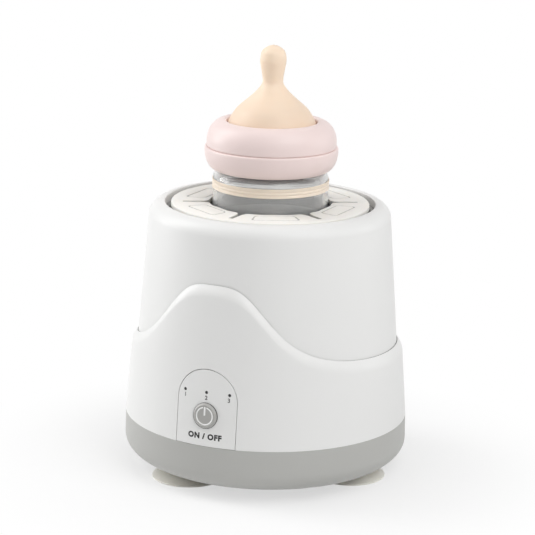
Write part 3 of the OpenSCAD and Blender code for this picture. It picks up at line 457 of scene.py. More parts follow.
def clear_glass(name, colour):
    """Blown glass with a slightly uneven surface."""
    material, nodes, links, shader = principled(name)
    shader.inputs["Base Color"].default_value = shade(colour, 1)
    shader.inputs["Transmission Weight"].default_value = 0.80
    shader.inputs["IOR"].default_value = 1.48
    shader.inputs["Roughness"].default_value = 0.02
    fine_relief(nodes, links, shader, noise(nodes, links, 60, 1), 0.15, 0.0001)
    return material


def board_green(name):
    """Circuit board: solder mask over faint copper tracks."""
    material, nodes, links, shader = principled(name)
    where = nodes.new("ShaderNodeTexCoord")
    tracks = nodes.new("ShaderNodeTexBrick")
    tracks.inputs["Scale"].default_value = 180
    tracks.inputs["Mortar Size"].default_value = 0.04
    tracks.inputs["Color1"].default_value = (0.012, 0.10, 0.045, 1)
    tracks.inputs["Color2"].default_value = (0.010, 0.085, 0.04, 1)
    tracks.inputs["Mortar"].default_value = (0.03, 0.17, 0.07, 1)
    links.new(where.outputs["Object"], tracks.inputs["Vector"])
    links.new(tracks.outputs["Color"], shader.inputs["Base Color"])
    uneven_gloss(nodes, links, shader, noise(nodes, links, 120, 3), 0.28, 0.42)
    fine_relief(nodes, links, shader, tracks.outputs["Fac"], 0.3, 0.00003)
    return material


WHITE = moulded("white_shell", (0.84, 0.84, 0.83), rough=0.42, vary=0.006)
GREY = moulded("grey_base", (0.475, 0.475, 0.455), rough=0.45, vary=0.012)
BUTTON_GREY = moulded("button_grey", (0.40, 0.395, 0.38), rough=0.4, vary=0.02)
# Near black for the painted shade in the gap around the button
BUTTON_GAP_SHADOW = moulded("button_gap_shadow", (0.06, 0.06, 0.058), rough=0.5, vary=0.03)
SIGN_WHITE = moulded("sign_white", (0.95, 0.95, 0.94), rough=0.5, vary=0.01)
PRINT_GREY = moulded("print_grey", (0.012, 0.012, 0.012), rough=0.6, vary=0.05)
# Dark grey for the painted shadow line where the skirt meets the housing
JOIN_SHADOW_GREY = moulded("join_shadow_grey", (0.2, 0.2, 0.195), rough=0.6, vary=0.03)
RING_GREY = moulded("ring_grey", (0.30, 0.30, 0.29), rough=0.5, vary=0.03)
CUP_GREY = moulded("cup_grey", (0.80, 0.805, 0.79), rough=0.5, vary=0.02)
PAD_GREY = silicone("pad_grey", (0.62, 0.62, 0.61), rough=0.6, inside=0.1, reach=1 * MM)
CREAM = silicone("grip_silicone", (0.94, 0.92, 0.875), rough=0.55, inside=0.25, reach=2 * MM, vary=0.008)
FOOT = silicone("foot_silicone", (0.96, 0.935, 0.86), rough=0.4, inside=0.1, reach=1 * MM)
BAND = silicone("cream_band", (0.95, 0.81, 0.67), rough=0.5, inside=0.2, reach=1 * MM)
PINK = moulded("pink_collar", (0.885, 0.735, 0.71), rough=0.4, vary=0.008)
AMBER = silicone("teat_silicone", (0.98, 0.78, 0.605), rough=0.5, inside=0.2, reach=1 * MM, vary=0.012)
BLACK = moulded("black_plastic", (0.012, 0.012, 0.014), rough=0.5, vary=0.1)
SMOKE = moulded("clear_pipe", (0.015, 0.015, 0.016), rough=0.35, vary=0.05)
LAMP = moulded("lamp", (0.85, 0.82, 0.70), rough=0.2, vary=0.03)
ACETAL = moulded("gear_plastic", (0.80, 0.77, 0.68), rough=0.4, vary=0.02)
DECK = moulded("deck_plastic", (0.27, 0.27, 0.265), rough=0.55, vary=0.03)
WRAP = moulded("cell_wrap", (0.07, 0.16, 0.38), rough=0.3, vary=0.05)
STEEL = metal("steel", (0.62, 0.63, 0.64), 0.3, (900, 900, 120))
MOTOR_STEEL = metal("motor_steel", (0.56, 0.57, 0.58), 0.35, (60, 60, 1500))
SOCKET_STEEL = metal("socket_steel", (0.60, 0.61, 0.62), 0.25, (400, 400, 400))
BRASS = metal("brass", (0.70, 0.53, 0.22), 0.28, (1200, 1200, 100))
GLASS = clear_glass("bottle_glass", (0.95, 0.955, 0.95))
GREEN = board_green("green_board")

# Painted shade: the grip's grooves and slits are painted darker than its top
paint_shade_below(CREAM, low=grip_high.z - 0.22 * MM, high=grip_high.z - 0.03 * MM,
            reach=grip_high.x - 2 * MM, darkest=0.55)
# Painted shade: the teat's lower part is painted darker than its tip, so the tip looks lit through
paint_shade_below(AMBER, low=teat_low.z + 14 * MM, high=teat_high.z - 16 * MM,
            reach=teat_high.x, darkest=0.9)

NODE_MATERIALS = {
    "white_shell": WHITE, "grey_base": GREY, "foot_silicone": FOOT, "button_grey": BUTTON_GREY,
    "black_plastic": BLACK, "green_board": GREEN, "steel": STEEL, "clear_pipe": SMOKE, "lamp": LAMP,
    "grip_silicone": CREAM, "grey_ring": RING_GREY, "grey_cup": CUP_GREY, "grey_rubber": PAD_GREY,
    "gear_plastic": ACETAL, "brass": BRASS, "motor_steel": MOTOR_STEEL, "deck_plastic": DECK,
    "cell_wrap": WRAP, "socket_steel": SOCKET_STEEL, "bottle_glass": GLASS, "cream_band": BAND,
    "pink_collar": PINK, "teat_silicone": AMBER,
}

# Every solid that stays gets the material of its slot
for part in frame["record"]["subparts"]:
    solid = frame["nodes"][part["node"]]
    solid.data.materials.clear()
    solid.data.materials.append(NODE_MATERIALS[part["material_slot"]])


# Shell pieces


def make_base():
    """Grey tray with its rounded underside, charging slot and screw holes."""
    middle = BASE_R - BASE_ROUND_W
    top = FOOT_H + BASE_ROUND_H
    outer = [(0, FOOT_H)] + arc(middle, top, BASE_ROUND_W, BASE_ROUND_H, -90, 0, 32)
    ease = 0.15 * MM
    edge = [(RIM_R, SEAM_Z - ease), (RIM_R - ease, SEAM_Z), (RIM_R - WALL, SEAM_Z)]
    inner = arc(middle, top, BASE_ROUND_W - WALL, BASE_ROUND_H - WALL, 0, -90, 20) + [(0, FOOT_H + WALL)]
    base = lathe("base_shell", outer + edge + inner, 256)
    for corner in (45, 135, 225, 315):
        turn = math.radians(corner)
        hole = circle_points(BOSS_REACH * math.sin(turn), -BOSS_REACH * math.cos(turn), SCREW_HOLE_R)
        cut(base, prism("hole", hole, 0, top))
    half = 0.5 * (plug_high.x - plug_low.x) + SHELL_GAP
    round_r = 0.5 * (plug_high.z - plug_low.z) + SHELL_GAP
    right = arc(half - round_r, 0, round_r, round_r, -90, 90, 16)
    left = arc(round_r - half, 0, round_r, round_r, 90, 270, 16)
    slot_start = BASE_R + 1 * MM
    slot_depth = 8 * MM
    slot = prism("slot", right + left, 0, slot_depth)
    plug_z = (plug_low.z + plug_high.z) / 2
    place(slot, Matrix.Translation((0, slot_start, plug_z)) @ Matrix.Rotation(math.pi / 2, 4, "X"))
    cut(base, slot)
    return base


def wave_ring(name, section):
    """A ring that follows the wave. The section gives its outline for a height of the wave."""
    bm = bmesh.new()
    rings = []
    for i in range(WAVE_STEPS):
        angle = 360 * i / WAVE_STEPS - 180
        turn = math.radians(angle)
        rings.append([(r * math.sin(turn), -r * math.cos(turn), z) for r, z in section(wave_z(angle))])
    ring_grid(bm, rings)
    return finish_mesh(name, bm)


def skirt_section(top):
    """Outline of the skirt's wall, with its soft outer bend and its rounded lip."""
    bend = top - EDGE_DROP
    peak = Vector((house_r(top) + SHELL_GAP, top))
    corner = Vector((skirt_r(bend), bend))
    high = corner + (peak - corner) * EDGE_ROUND / EDGE_DROP
    low = Vector((skirt_r(bend - EDGE_ROUND), bend - EDGE_ROUND))
    steps = 10
    shares = [k / steps for k in range(steps + 1)]
    bow = [low * (1 - t) ** 2 + corner * 2 * t * (1 - t) + high * t ** 2 for t in shares]
    lip = (corner - peak).normalized() * LIP_ROUND
    edge = [tuple(p) for p in bow]
    edge += [tuple(peak + lip), (peak.x + 0.3 * lip.x, top), (peak.x, top - LIP_ROUND)]
    levels = [SEAM_Z + (low.y - SEAM_Z) * k / 4 for k in range(4)]
    side = [(skirt_r(z), z) for z in levels]
    inside = house_r(HOUSE_Z) - WALL
    return [(inside, SEAM_Z)] + side + edge + [(house_r(HOUSE_Z) + SHELL_GAP, HOUSE_Z), (inside, HOUSE_Z)]


def join_shadow_section(top):
    """Outline of the thin dark strip in the gap between the skirt's edge and the housing, a painted shadow
    line along the join.
    """
    play = 0.02 * MM
    height = 0.8 * MM
    high = top - play
    low = high - height
    near = house_r(high) + play
    far = house_r(high) + SHELL_GAP - play
    return [(near, low), (far, low), (far, high), (near, high)]


def make_skirt():
    """White skirt whose upper edge rises in a wave over the front."""
    skirt = wave_ring("skirt_shell", skirt_section)
    behind = -12 * MM
    cut_on_panel(skirt, arch_outline(SHELL_GAP), behind, CUT_FRONT)
    return skirt


def make_housing():
    """White upper housing with its soft shoulder and the lip inside the rim."""
    arc_z = BODY_H - SHOULDER_R
    arc_x = house_r(arc_z + SHOULDER_R * math.sin(DRAFT)) - SHOULDER_R * math.cos(DRAFT)
    mouth = arc_x - RIM_FLAT
    draft_deg = math.degrees(DRAFT)
    edge = 0.5 * MM
    levels = [HOUSE_Z + (arc_z - HOUSE_Z) * k / 6 for k in range(6)]
    side = [(house_r(z), z) for z in levels]
    shoulder = arc(arc_x, arc_z, SHOULDER_R, SHOULDER_R, draft_deg, 90, 24)
    rim = arc(mouth + edge, BODY_H - edge, edge, edge, 90, 180, 5)
    lip = [(mouth, BODY_H - LIP_H), (mouth + WALL, BODY_H - LIP_H), (mouth + WALL, BODY_H - WALL)]
    inner = arc(arc_x, arc_z, SHOULDER_R - WALL, SHOULDER_R - WALL, 70, draft_deg, 8)
    foot = [(house_r(HOUSE_Z) - WALL, HOUSE_Z)]
    housing = lathe("housing_shell", side + shoulder + rim + lip + inner + foot, 256)
    margin = 1 * MM
    behind = -11.5 * MM
    right = LIGHT_X + LIGHT_R + margin
    low = -GUIDE_R - 2 * margin
    high = LIGHT_UP + LIGHT_R + margin
    window = [(-right, low), (right, low), (right, high), (-right, high)]
    cut_on_panel(housing, window, behind, 0)
    return housing


def make_panel():
    """Arched control panel, flush with the skirt, with its holes."""
    bm = bmesh.new()
    seam_gap = 0.15 * MM
    spare = 1 * MM
    low = SEAM_Z + seam_gap
    high = ARCH_Z + PANEL_R + spare
    half_angle = 16
    columns = 63
    rows = 48
    heights = [low + (high - low) * k / rows for k in range(rows + 1)]

    def column(turn, depth):
        spots = [(skirt_r(z) - depth, z) for z in heights]
        return [bm.verts.new((r * math.sin(turn), -r * math.cos(turn), z)) for r, z in spots]

    outer = []
    inner = []
    for i in range(columns + 1):
        turn = math.radians(-half_angle + 2 * half_angle * i / columns)
        outer.append(column(turn, 0))
        inner.append(column(turn, LEDGE_W - SHELL_GAP))
    for i in range(columns):
        for k in range(rows):
            bm.faces.new((outer[i][k], outer[i + 1][k], outer[i + 1][k + 1], outer[i][k + 1]))
            bm.faces.new((inner[i][k], inner[i][k + 1], inner[i + 1][k + 1], inner[i + 1][k]))
        bm.faces.new((outer[i][0], inner[i][0], inner[i + 1][0], outer[i + 1][0]))
        bm.faces.new((outer[i][rows], outer[i + 1][rows], inner[i + 1][rows], inner[i][rows]))
    for k in range(rows):
        bm.faces.new((outer[0][k], outer[0][k + 1], inner[0][k + 1], inner[0][k]))
        bm.faces.new((outer[columns][k], inner[columns][k], inner[columns][k + 1], outer[columns][k + 1]))
    panel = finish_mesh("panel_plate", bm)
    behind = -14 * MM
    play = 0.03 * MM
    cut_on_panel(panel, arch_outline(0), behind, CUT_FRONT, "INTERSECT")
    cut_on_panel(panel, circle_points(0, 0, GUIDE_R, 66), behind, CUT_FRONT)
    for x in (-LIGHT_X, 0, LIGHT_X):
        cut_on_panel(panel, circle_points(x, LIGHT_UP, LIGHT_R + play, 26), behind, CUT_FRONT)
    return panel


on_body(make_base(), "housing", GREY, "base_tray", slot="grey_base")
on_body(make_skirt(), "housing", WHITE, "wave_skirt", slot="white_shell")
# A thin dark strip in the gap under the skirt's edge paints the join's shadow line
on_body(wave_ring("join_shadow_strip", join_shadow_section), "housing", JOIN_SHADOW_GREY, slot="white_shell")
on_body(make_housing(), "housing", WHITE, "upper_housing", slot="white_shell")
on_body(make_panel(), "housing", WHITE, "control_panel", slot="white_shell")


# Button and signs


def make_button():
    """Round button with a bevelled rim around a slightly sunk face."""
    play = 0.15 * MM
    stop_t = 1 * MM
    stop_r = BUTTON_R + 0.7 * MM
    back = -GUIDE_LEN - play - stop_t
    face = BUTTON_R - BUTTON_BEVEL
    rim_w = 0.35 * MM
    sunk = 0.2 * MM
    outline = rounded([
        (0, back, 0),
        (stop_r, back, 0.2 * MM),
        (stop_r, back + stop_t, 0.2 * MM),
        (BUTTON_R, back + stop_t, 0),
        (BUTTON_R, BUTTON_OUT - BUTTON_BEVEL, 0.3 * MM),
        (face, BUTTON_OUT, 0.25 * MM),
        (face - rim_w, BUTTON_OUT, 0.1 * MM),
        (face - rim_w - sunk, BUTTON_OUT - sunk, 0.1 * MM),
        (0, BUTTON_OUT - sunk, 0),
    ], 4)
    button = lathe("button_cap", outline, 128)
    place(button, PANEL_FRAME)
    return button


def make_button_edge():
    """Thin dark ring in the gap around the button's side, painted shade where the gap falls dark."""
    inner = BUTTON_R + 0.01 * MM
    outer = GUIDE_R - 0.03 * MM
    low = -0.5 * MM
    ring = plain_ring("button_edge", low, BUTTON_OUT - BUTTON_BEVEL, inner, outer, 0)
    place(ring, PANEL_FRAME)
    return ring


def make_power_sign():
    """White ring, open at the top, with a bar through the opening."""
    bm = bmesh.new()
    low = BUTTON_OUT - 0.22 * MM
    high = BUTTON_OUT - 0.14 * MM
    middle = 3.8 * MM
    half = 0.3 * MM
    gap = 12
    steps = 72
    section = [(middle - half, low), (middle + half, low), (middle + half, high), (middle - half, high)]
    rows = []
    for i in range(steps + 1):
        turn = math.radians(90 + gap + (360 - 2 * gap) * i / steps)
        rows.append([bm.verts.new((r * math.cos(turn), r * math.sin(turn), z)) for r, z in section])
    for a, b in zip(rows, rows[1:]):
        for j in range(4):
            bm.faces.new((a[j], b[j], b[(j + 1) % 4], a[(j + 1) % 4]))
    bm.faces.new(rows[0])
    bm.faces.new(rows[-1])
    side = 0.4 * MM
    start = 0.2 * MM
    end = 4.2 * MM
    ease = 0.3 * MM
    bar = [(-side, start, ease), (side, start, ease), (side, end, ease), (-side, end, ease)]
    extrude(bm, rounded(bar, 4), low, high)
    sign = finish_mesh("power_sign", bm)
    place(sign, PANEL_FRAME)
    return sign


def make_label(name, words, x, up, height, weight):
    """Small print that lies on the curved face of the panel."""
    text = bpy.data.curves.new(name, "FONT")
    text.body = words
    text.size = height
    text.align_x = "CENTER"
    text.align_y = "CENTER"
    text.extrude = 0.02 * MM
    text.offset = weight
    text.space_character = 1.14
    text.resolution_u = 3
    writer = bpy.data.objects.new(name + "_curve", text)
    bpy.context.scene.collection.objects.link(writer)
    bpy.context.view_layer.update()
    graph = bpy.context.evaluated_depsgraph_get()
    mesh = bpy.data.meshes.new_from_object(writer.evaluated_get(graph))
    bpy.data.objects.remove(writer)
    for vertex in mesh.vertices:
        flat = vertex.co.copy()
        vertex.co = on_face(x + flat.x, up + flat.y, flat.z)
    mesh.name = name
    return new_object(name, mesh)


NUMBER_H = 2.6 * MM
NUMBER_DOWN = 2.5 * MM
SWITCH_H = 3.4 * MM
SWITCH_DOWN = 9.4 * MM

on_body(make_button(), "button", BUTTON_GREY, "power_button", slot="button_grey")
# The dark ring paints the shade in the gap around the button
on_body(make_button_edge(), "button", BUTTON_GAP_SHADOW, slot="button_grey")
on_body(make_power_sign(), "button", SIGN_WHITE, slot="button_grey")
for number, x in zip("123", (-LIGHT_X, 0, LIGHT_X)):
    up = LIGHT_UP - NUMBER_DOWN
    label = make_label("label_" + number, number, x, up, NUMBER_H, weight=0.05 * MM)
    on_body(label, "housing", PRINT_GREY, slot="white_shell")
label = make_label("label_switch", "ON / OFF", 0, -SWITCH_DOWN, SWITCH_H, weight=0.18 * MM)
on_body(label, "housing", PRINT_GREY, slot="white_shell")


# Feet


def make_foot(node):
    """Suction foot: a thin cup with a rounded lip, a neck and a head."""
    low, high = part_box(node)
    r = (high.x - low.x) / 2
    hollow = 1.4 * MM
    lip_w = 2.5 * MM
    lip_t = 0.7 * MM
    bend_in = 4 * MM
    bend_z = 2.35 * MM
    top_r = 8.2 * MM
    neck_r = 3.6 * MM
    head_r = 5.2 * MM
    head_top_r = 4.4 * MM
    outline = rounded([
        (0, hollow, 0),
        (r - lip_w, 0, 1 * MM),
        (r, 0, 0.25 * MM),
        (r, lip_t, 0.3 * MM),
        (r - bend_in, bend_z, 4 * MM),
        (top_r, FOOT_H, 1 * MM),
        (neck_r, FOOT_H, 0),
        (neck_r, FOOT_H + WALL, 0),
        (head_r, FOOT_H + WALL, 0.2 * MM),
        (head_top_r, high.z, 0.6 * MM),
        (0, high.z, 0),
    ], 6)
    foot = lathe(node + "_cup", outline, 96)
    place(foot, Matrix.Translation(((low.x + high.x) / 2, (low.y + high.y) / 2, 0)))
    return foot


for node in ("foot_left", "foot_right", "foot_rear"):
    on_body(make_foot(node), "housing", FOOT, node, slot="foot_silicone")


# Grip, cup and rings

GRIP_R = (grip_high.x - grip_low.x) / 2
SLIT_R = GRIP_R - 5.55 * MM
HOLE = BOTTLE_R + 0.5 * MM
HOLE_CORNER = BOTTLE_R + 1.4 * MM
PETAL_HALF = math.pi / PETALS


def petal_edge(u):
    """Radius of a petal's inner edge, straight in the middle and rounded off at both ends."""
    straight = 0.8
    drawn_back = 1.1 * MM
    ease = max(abs(u) - straight, 0) / (1 - straight)
    return min(HOLE / math.cos(u * PETAL_HALF), HOLE_CORNER) + drawn_back * ease ** 3


def slit_half(r):
    """Half the width of the slit between two petals, with its flared mouth."""
    t = min(max((r - HOLE_CORNER) / FLARE_LEN, 0), 1)
    return SLIT_W / 2 + (FLARE_W - SLIT_W) / 2 * (1 - t) ** 1.6


def groove(side, out):
    """Depth of the moulded outline on a petal, at a place across and along it."""
    low = HOLE + 2.6 * MM
    high = low + 8.4 * MM
    t = min(max((out - low) / (high - low), 0), 1)
    half = 8.6 * MM + 2 * MM * t
    corner = 2 * MM
    dx = abs(side) - half + corner
    dy = abs(out - (low + high) / 2) - (high - low) / 2 + corner
    outside = math.hypot(max(dx, 0), max(dy, 0)) + min(max(dx, dy), 0) - corner
    width = 0.5 * MM
    depth = 0.5 * MM
    return depth * math.cos(outside / width * math.pi / 2) ** 2 if abs(outside) < width else 0


def rounding(distance, radius):
    """How far a rounded edge has dropped at a distance from it."""
    gap = min(max(1 - distance / radius, 0), 1)
    return radius * (1 - math.sqrt(1 - gap * gap))


def make_grip():
    """Soft ring of petals, with slits between them and a moulded outline on each."""
    bm = bmesh.new()
    across = 120
    along = 48
    edge = 0.5 * MM
    crowding = 0.48 * math.pi
    spread = [math.sin((2 * i / across - 1) * crowding) / math.sin(crowding) for i in range(across + 1)]
    end_reach = PETAL_HALF - math.asin(slit_half(SLIT_R) / SLIT_R)
    turns = [-PETAL_HALF] + [u * end_reach for u in spread] + [PETAL_HALF]
    outer_rows = ((SLIT_R + edge, 0), (GRIP_R - edge, 0), (GRIP_R - edge * 0.4, edge * 0.2), (GRIP_R, edge))

    def corner(r, angle, drop):
        return bm.verts.new((r * math.sin(angle), -r * math.cos(angle), grip_high.z - drop))

    for petal in range(PETALS):
        middle = PETAL_TURN + 2 * PETAL_HALF * petal
        sheet = []
        for j in range(along + 1):
            row = []
            v = (j / along) ** 1.3
            for u in spread:
                inner = petal_edge(u)
                r = inner * (1 - v) + SLIT_R * v
                reach = PETAL_HALF - math.asin(slit_half(r) / r)
                turn = u * reach
                drop = max(rounding(r - inner, edge), rounding((1 - abs(u)) * reach * r, edge))
                drop = max(drop, groove(r * math.sin(turn), r * math.cos(turn)))
                row.append(corner(r, middle + turn, drop))
            sheet.append(row)
        for a, b in zip(sheet, sheet[1:]):
            for i in range(across):
                bm.faces.new((a[i], a[i + 1], b[i + 1], b[i]))
        ends = [corner(SLIT_R, middle + turn, edge) for turn in (-PETAL_HALF, PETAL_HALF)]
        rows = [ends[:1] + sheet[-1] + ends[1:]]
        for r, drop in outer_rows:
            rows.append([corner(r, middle + turn, drop) for turn in turns])
        for a, b in zip(rows, rows[1:]):
            for i in range(len(turns) - 1):
                bm.faces.new((a[i], a[i + 1], b[i + 1], b[i]))
    bmesh.ops.remove_doubles(bm, verts=bm.verts, dist=1e-6)
    bmesh.ops.recalc_face_normals(bm, faces=bm.faces)
    down = bmesh.ops.extrude_face_region(bm, geom=bm.faces[:])
    for item in down["geom"]:
        if isinstance(item, bmesh.types.BMVert):
            item.co.z = grip_low.z
    return finish_mesh("grip_petals", bm, 50)


def make_funnel():
    """Grey funnel at the top of the cup, under the petals."""
    inner = BOTTLE_R + CUP_GAP
    outer = inner + CUP_WALL
    lip_r = (funnel_high.x - funnel_low.x) / 2
    mouth = GRIP_R - SEAT_IN
    lip_t = 2.5 * MM
    lip_z = funnel_high.z - lip_t
    outline = rounded([
        (inner, funnel_low.z, 0),
        (outer, funnel_low.z, 0),
        (mouth + 1 * MM, lip_z, 1 * MM),
        (lip_r, lip_z, 0.3 * MM),
        (lip_r, funnel_high.z, 0.3 * MM),
        (mouth, funnel_high.z, 0.3 * MM),
        (mouth, lip_z, 2 * MM),
    ])
    return lathe("cup_mouth", outline, 160)


def make_pad():
    """Soft pad with concentric ribs under the bottle."""
    r = (pad_high.x - pad_low.x) / 2
    hole = 4 * MM
    ribs = 5
    pitch = 4 * MM
    crest = 2 * MM
    slope = 0.3 * MM
    edge = 1 * MM
    high = pad_high.z
    valley = high - 0.5 * MM
    outline = [(hole, pad_low.z), (r, pad_low.z), (r, high - 0.4 * MM)]
    for k in range(ribs):
        a = r - edge - k * pitch
        b = a - crest
        outline += [(a, high), (b, high), (b - slope, valley), (a - pitch + slope, valley)]
    outline.append((hole, valley))
    return lathe("pad_ribs", outline, 128)


def make_guide():
    """Fixed grey ring in the gap around the turning grip."""
    outer = (guide_high.x - guide_low.x) / 2
    step = BODY_H - LIP_H
    mouth = GRIP_R + GRIP_PLAY + GRIP_GAP - 0.05 * MM
    inner = GRIP_R + GRIP_PLAY + 0.4 * MM
    outline = rounded([
        (inner, guide_low.z, 0.2 * MM),
        (outer, guide_low.z, 0.2 * MM),
        (outer, step, 0),
        (mouth, step, 0),
        (mouth, guide_high.z, 0.3 * MM),
        (inner, guide_high.z, 0.4 * MM),
    ], 4)
    return lathe("guide_track", outline)


def make_balls():
    """Steel balls between the bearing's rings, the first one at the front."""
    bm = bmesh.new()
    r = (balls_high.z - balls_low.z) / 2
    reach = -balls_low.y - r
    z = (balls_low.z + balls_high.z) / 2
    for k in range(BALLS):
        turn = 2 * math.pi * k / BALLS
        spot = Matrix.Translation((reach * math.sin(turn), -reach * math.cos(turn), z))
        bmesh.ops.create_uvsphere(bm, u_segments=32, v_segments=20, radius=r, matrix=spot)
    return finish_mesh("steel_balls", bm)


on_body(make_grip(), "rotor", CREAM, "grip_ring", slot="grip_silicone")
on_body(make_funnel(), "rotor", CUP_GREY, "cup_funnel", slot="grey_cup")
tube = plain_ring("cup_tube", cup_low.z, cup_high.z, BOTTLE_R + CUP_GAP, BOTTLE_R + CUP_GAP + CUP_WALL, 0)
on_body(tube, "rotor", CUP_GREY, "bottle_cup", slot="grey_cup")
on_body(make_pad(), "rotor", PAD_GREY, "cup_pad", slot="grey_rubber")
flange = plain_ring("flange_band", flange_low.z, flange_high.z,
                    GRIP_R - SEAT_IN, GRIP_R + GRIP_PLAY, 0.2 * MM)
on_body(flange, "rotor", RING_GREY, "flange_ring", slot="grey_ring")
on_body(make_guide(), "housing", RING_GREY, "guide_ring", slot="grey_ring")
on_body(make_balls(), "housing", STEEL, "bearing_balls", slot="steel")


# Bottle


def make_bottle():
    """Clear bottle with a rounded heel, shoulder and neck."""
    shoulder = BOTTLE_R - NECK_R
    bottom = bottle_low.z
    top = bottle_high.z
    shoulder_z = band_high.z + 0.4 * MM
    heel = 4 * MM
    lip = 0.6 * MM
    hollow = 0.6 * MM
    hollow_r = 16 * MM
    stand_r = 18 * MM
    outer = [(0, bottom + hollow), (hollow_r, bottom + 0.5 * MM), (stand_r, bottom)]
    outer += arc(BOTTLE_R - heel, bottom + heel, heel, heel, -90, 0, 12)
    outer += arc(NECK_R, shoulder_z, shoulder, shoulder, 0, 90, 12)
    rim = arc(NECK_R - lip, top - lip, lip, lip, 0, 90, 5)
    rim += arc(NECK_R - GLASS_T + lip, top - lip, lip, lip, 90, 180, 5)
    inner = arc(NECK_R - GLASS_T, shoulder_z - GLASS_T, shoulder, shoulder, 90, 0, 12)
    inner += arc(BOTTLE_R - heel - GLASS_T, bottom + heel + GLASS_T, heel, heel, 0, -90, 12)
    return lathe("bottle_shell", outer + rim + inner + [(0, bottom + GLASS_T + 0.4 * MM)])


def make_band():
    """Soft band under the collar, with two fine grooves."""
    r = (band_high.x - band_low.x) / 2
    inner = BOTTLE_R + 0.02 * MM
    deep = 0.8 * (r - inner)
    half = 0.4 * MM
    corners = [(inner, band_low.z, 0), (r, band_low.z, 0.1 * MM)]
    for share in (0.28, 0.62):
        z = band_low.z + share * (band_high.z - band_low.z)
        corners += [(r, z - half, 0), (r - deep, z, 0), (r, z + half, 0)]
    corners += [(r, band_high.z, 0.1 * MM), (inner, band_high.z, 0)]
    return lathe("band_ring", rounded(corners, 4))


def make_collar_lower():
    """Lower collar ring, which swells from the bottle to a lip."""
    r = (ring_high.x - ring_low.x) / 2
    low = ring_low.z
    high = ring_high.z
    wall = 1.4 * MM
    bulge = r - COLLAR_BORE - wall
    lip_r = 0.8 * MM
    lip_h = 2 * lip_r
    side = arc(r - bulge, high - lip_h, bulge, high - low - lip_h, -90, 0, 24)
    lip = arc(r - lip_r, high - lip_r, lip_r, lip_r, 0, 90, 6)
    return lathe("collar_ring", [(COLLAR_BORE, low)] + side + lip + [(COLLAR_BORE, high)])


def make_collar_upper():
    """Upper collar ring, domed in to the teat."""
    r = (dome_high.x - dome_low.x) / 2
    hole = 20.3 * MM
    low = dome_low.z
    high = dome_high.z
    width = r - hole - 1.6 * MM
    height = high - low - 2.6 * MM
    groove_r = r - 0.5 * MM
    groove_h = 0.3 * MM
    edge_r = 1.1 * MM
    play = 0.15 * MM
    seam = [(groove_r, low), (groove_r, low + groove_h), (r, low + groove_h + 0.1 * MM)]
    side = seam + arc(r - width, high - height, width, height, 0, 90, 28)
    edge = arc(hole + edge_r, high - edge_r, edge_r, edge_r, 100, 180, 6)
    ledge = teat_low.z + TEAT_FLANGE + play
    inner = [(hole, ledge), (COLLAR_BORE, ledge)]
    return lathe("collar_dome", [(COLLAR_BORE, low)] + side + edge + inner)


# Teat outline from its flange to its tip, as shares of its base radius and its height
TEAT_SHAPE = [
    (1, 0), (1, 0.148), (0.92, 0.239), (0.793, 0.325), (0.581, 0.413), (0.384, 0.499), (0.253, 0.58),
    (0.235, 0.64), (0.263, 0.73), (0.298, 0.84), (0.258, 0.936), (0.126, 0.986),
]
# Outline whose inner wall follows it, a little lower on the slope
TEAT_HOLLOW = [
    (1, 0), (1, 0.134), (0.92, 0.219), (0.793, 0.297), (0.581, 0.38), (0.384, 0.472), (0.253, 0.573),
    (0.235, 0.64), (0.263, 0.73), (0.298, 0.84), (0.253, 0.912),
]


def make_teat():
    """Soft teat with a wide base, a waist and a rounded tip."""
    base = teat_low.z + TEAT_FLANGE
    tip = teat_high.z - base
    edge = (teat_high.x - teat_low.x) / 2
    outer = [(a * TEAT_R, b * tip) for a, b in TEAT_SHAPE] + [(TEAT_HOLE, tip)]
    inner = [(a * TEAT_R - TEAT_WALL, b * tip) for a, b in TEAT_HOLLOW]
    inner.append((TEAT_HOLE + TEAT_WALL, tip - TEAT_WALL))
    outline = [(TEAT_R - TEAT_WALL, -TEAT_FLANGE), (edge, -TEAT_FLANGE), (edge, 0)]
    outline += smooth_curve(outer, 8) + [(TEAT_HOLE, tip - TEAT_WALL)] + smooth_curve(inner, 5)[::-1]
    return lathe("teat_shell", [(x, z + base) for x, z in outline], 160, 50)


on_body(make_bottle(), "bottle", GLASS, "bottle_body", slot="bottle_glass")
on_body(make_band(), "bottle", BAND, "neck_band", slot="cream_band")
on_body(make_collar_lower(), "collar", PINK, "collar_lower", slot="pink_collar")
on_body(make_collar_upper(), "collar", PINK, "collar_upper", slot="pink_collar")
on_body(make_teat(), "cap", AMBER, "teat", slot="teat_silicone")


# Floor, light and camera

CAMERA_TURN = math.radians(24.5)
LIGHT_AIM = Vector((0, 0, 80 * MM))
SKY_POWER = 0.19

# Each light: its name, angle right of the camera, angle up, distance, size and power
LIGHTS = [
    ("left_low_light", -106, 10, 1.0, 0.5, 3.4),
    ("left_high_light", -106, 40, 1.0, 0.5, 3.4),
    ("front_light", 20, 25, 1.0, 0.7, 1.45),
    ("right_light", 40, 50, 1.0, 0.7, 4.2),
    ("right_low_light", 100, 12, 1.0, 0.5, 1.2),
    ("top_light", 0, 88, 1.1, 0.8, 2.0),
]


def seen_rays(nodes, links):
    """One for rays that show the surroundings, also mirrored or through glass, and zero for light."""
    rays = nodes.new("ShaderNodeLightPath")
    total = rays.outputs["Is Camera Ray"]
    for kind in ("Is Transmission Ray", "Is Glossy Ray"):
        total = combine(nodes, links, "MAXIMUM", total, rays.outputs[kind])
    return total


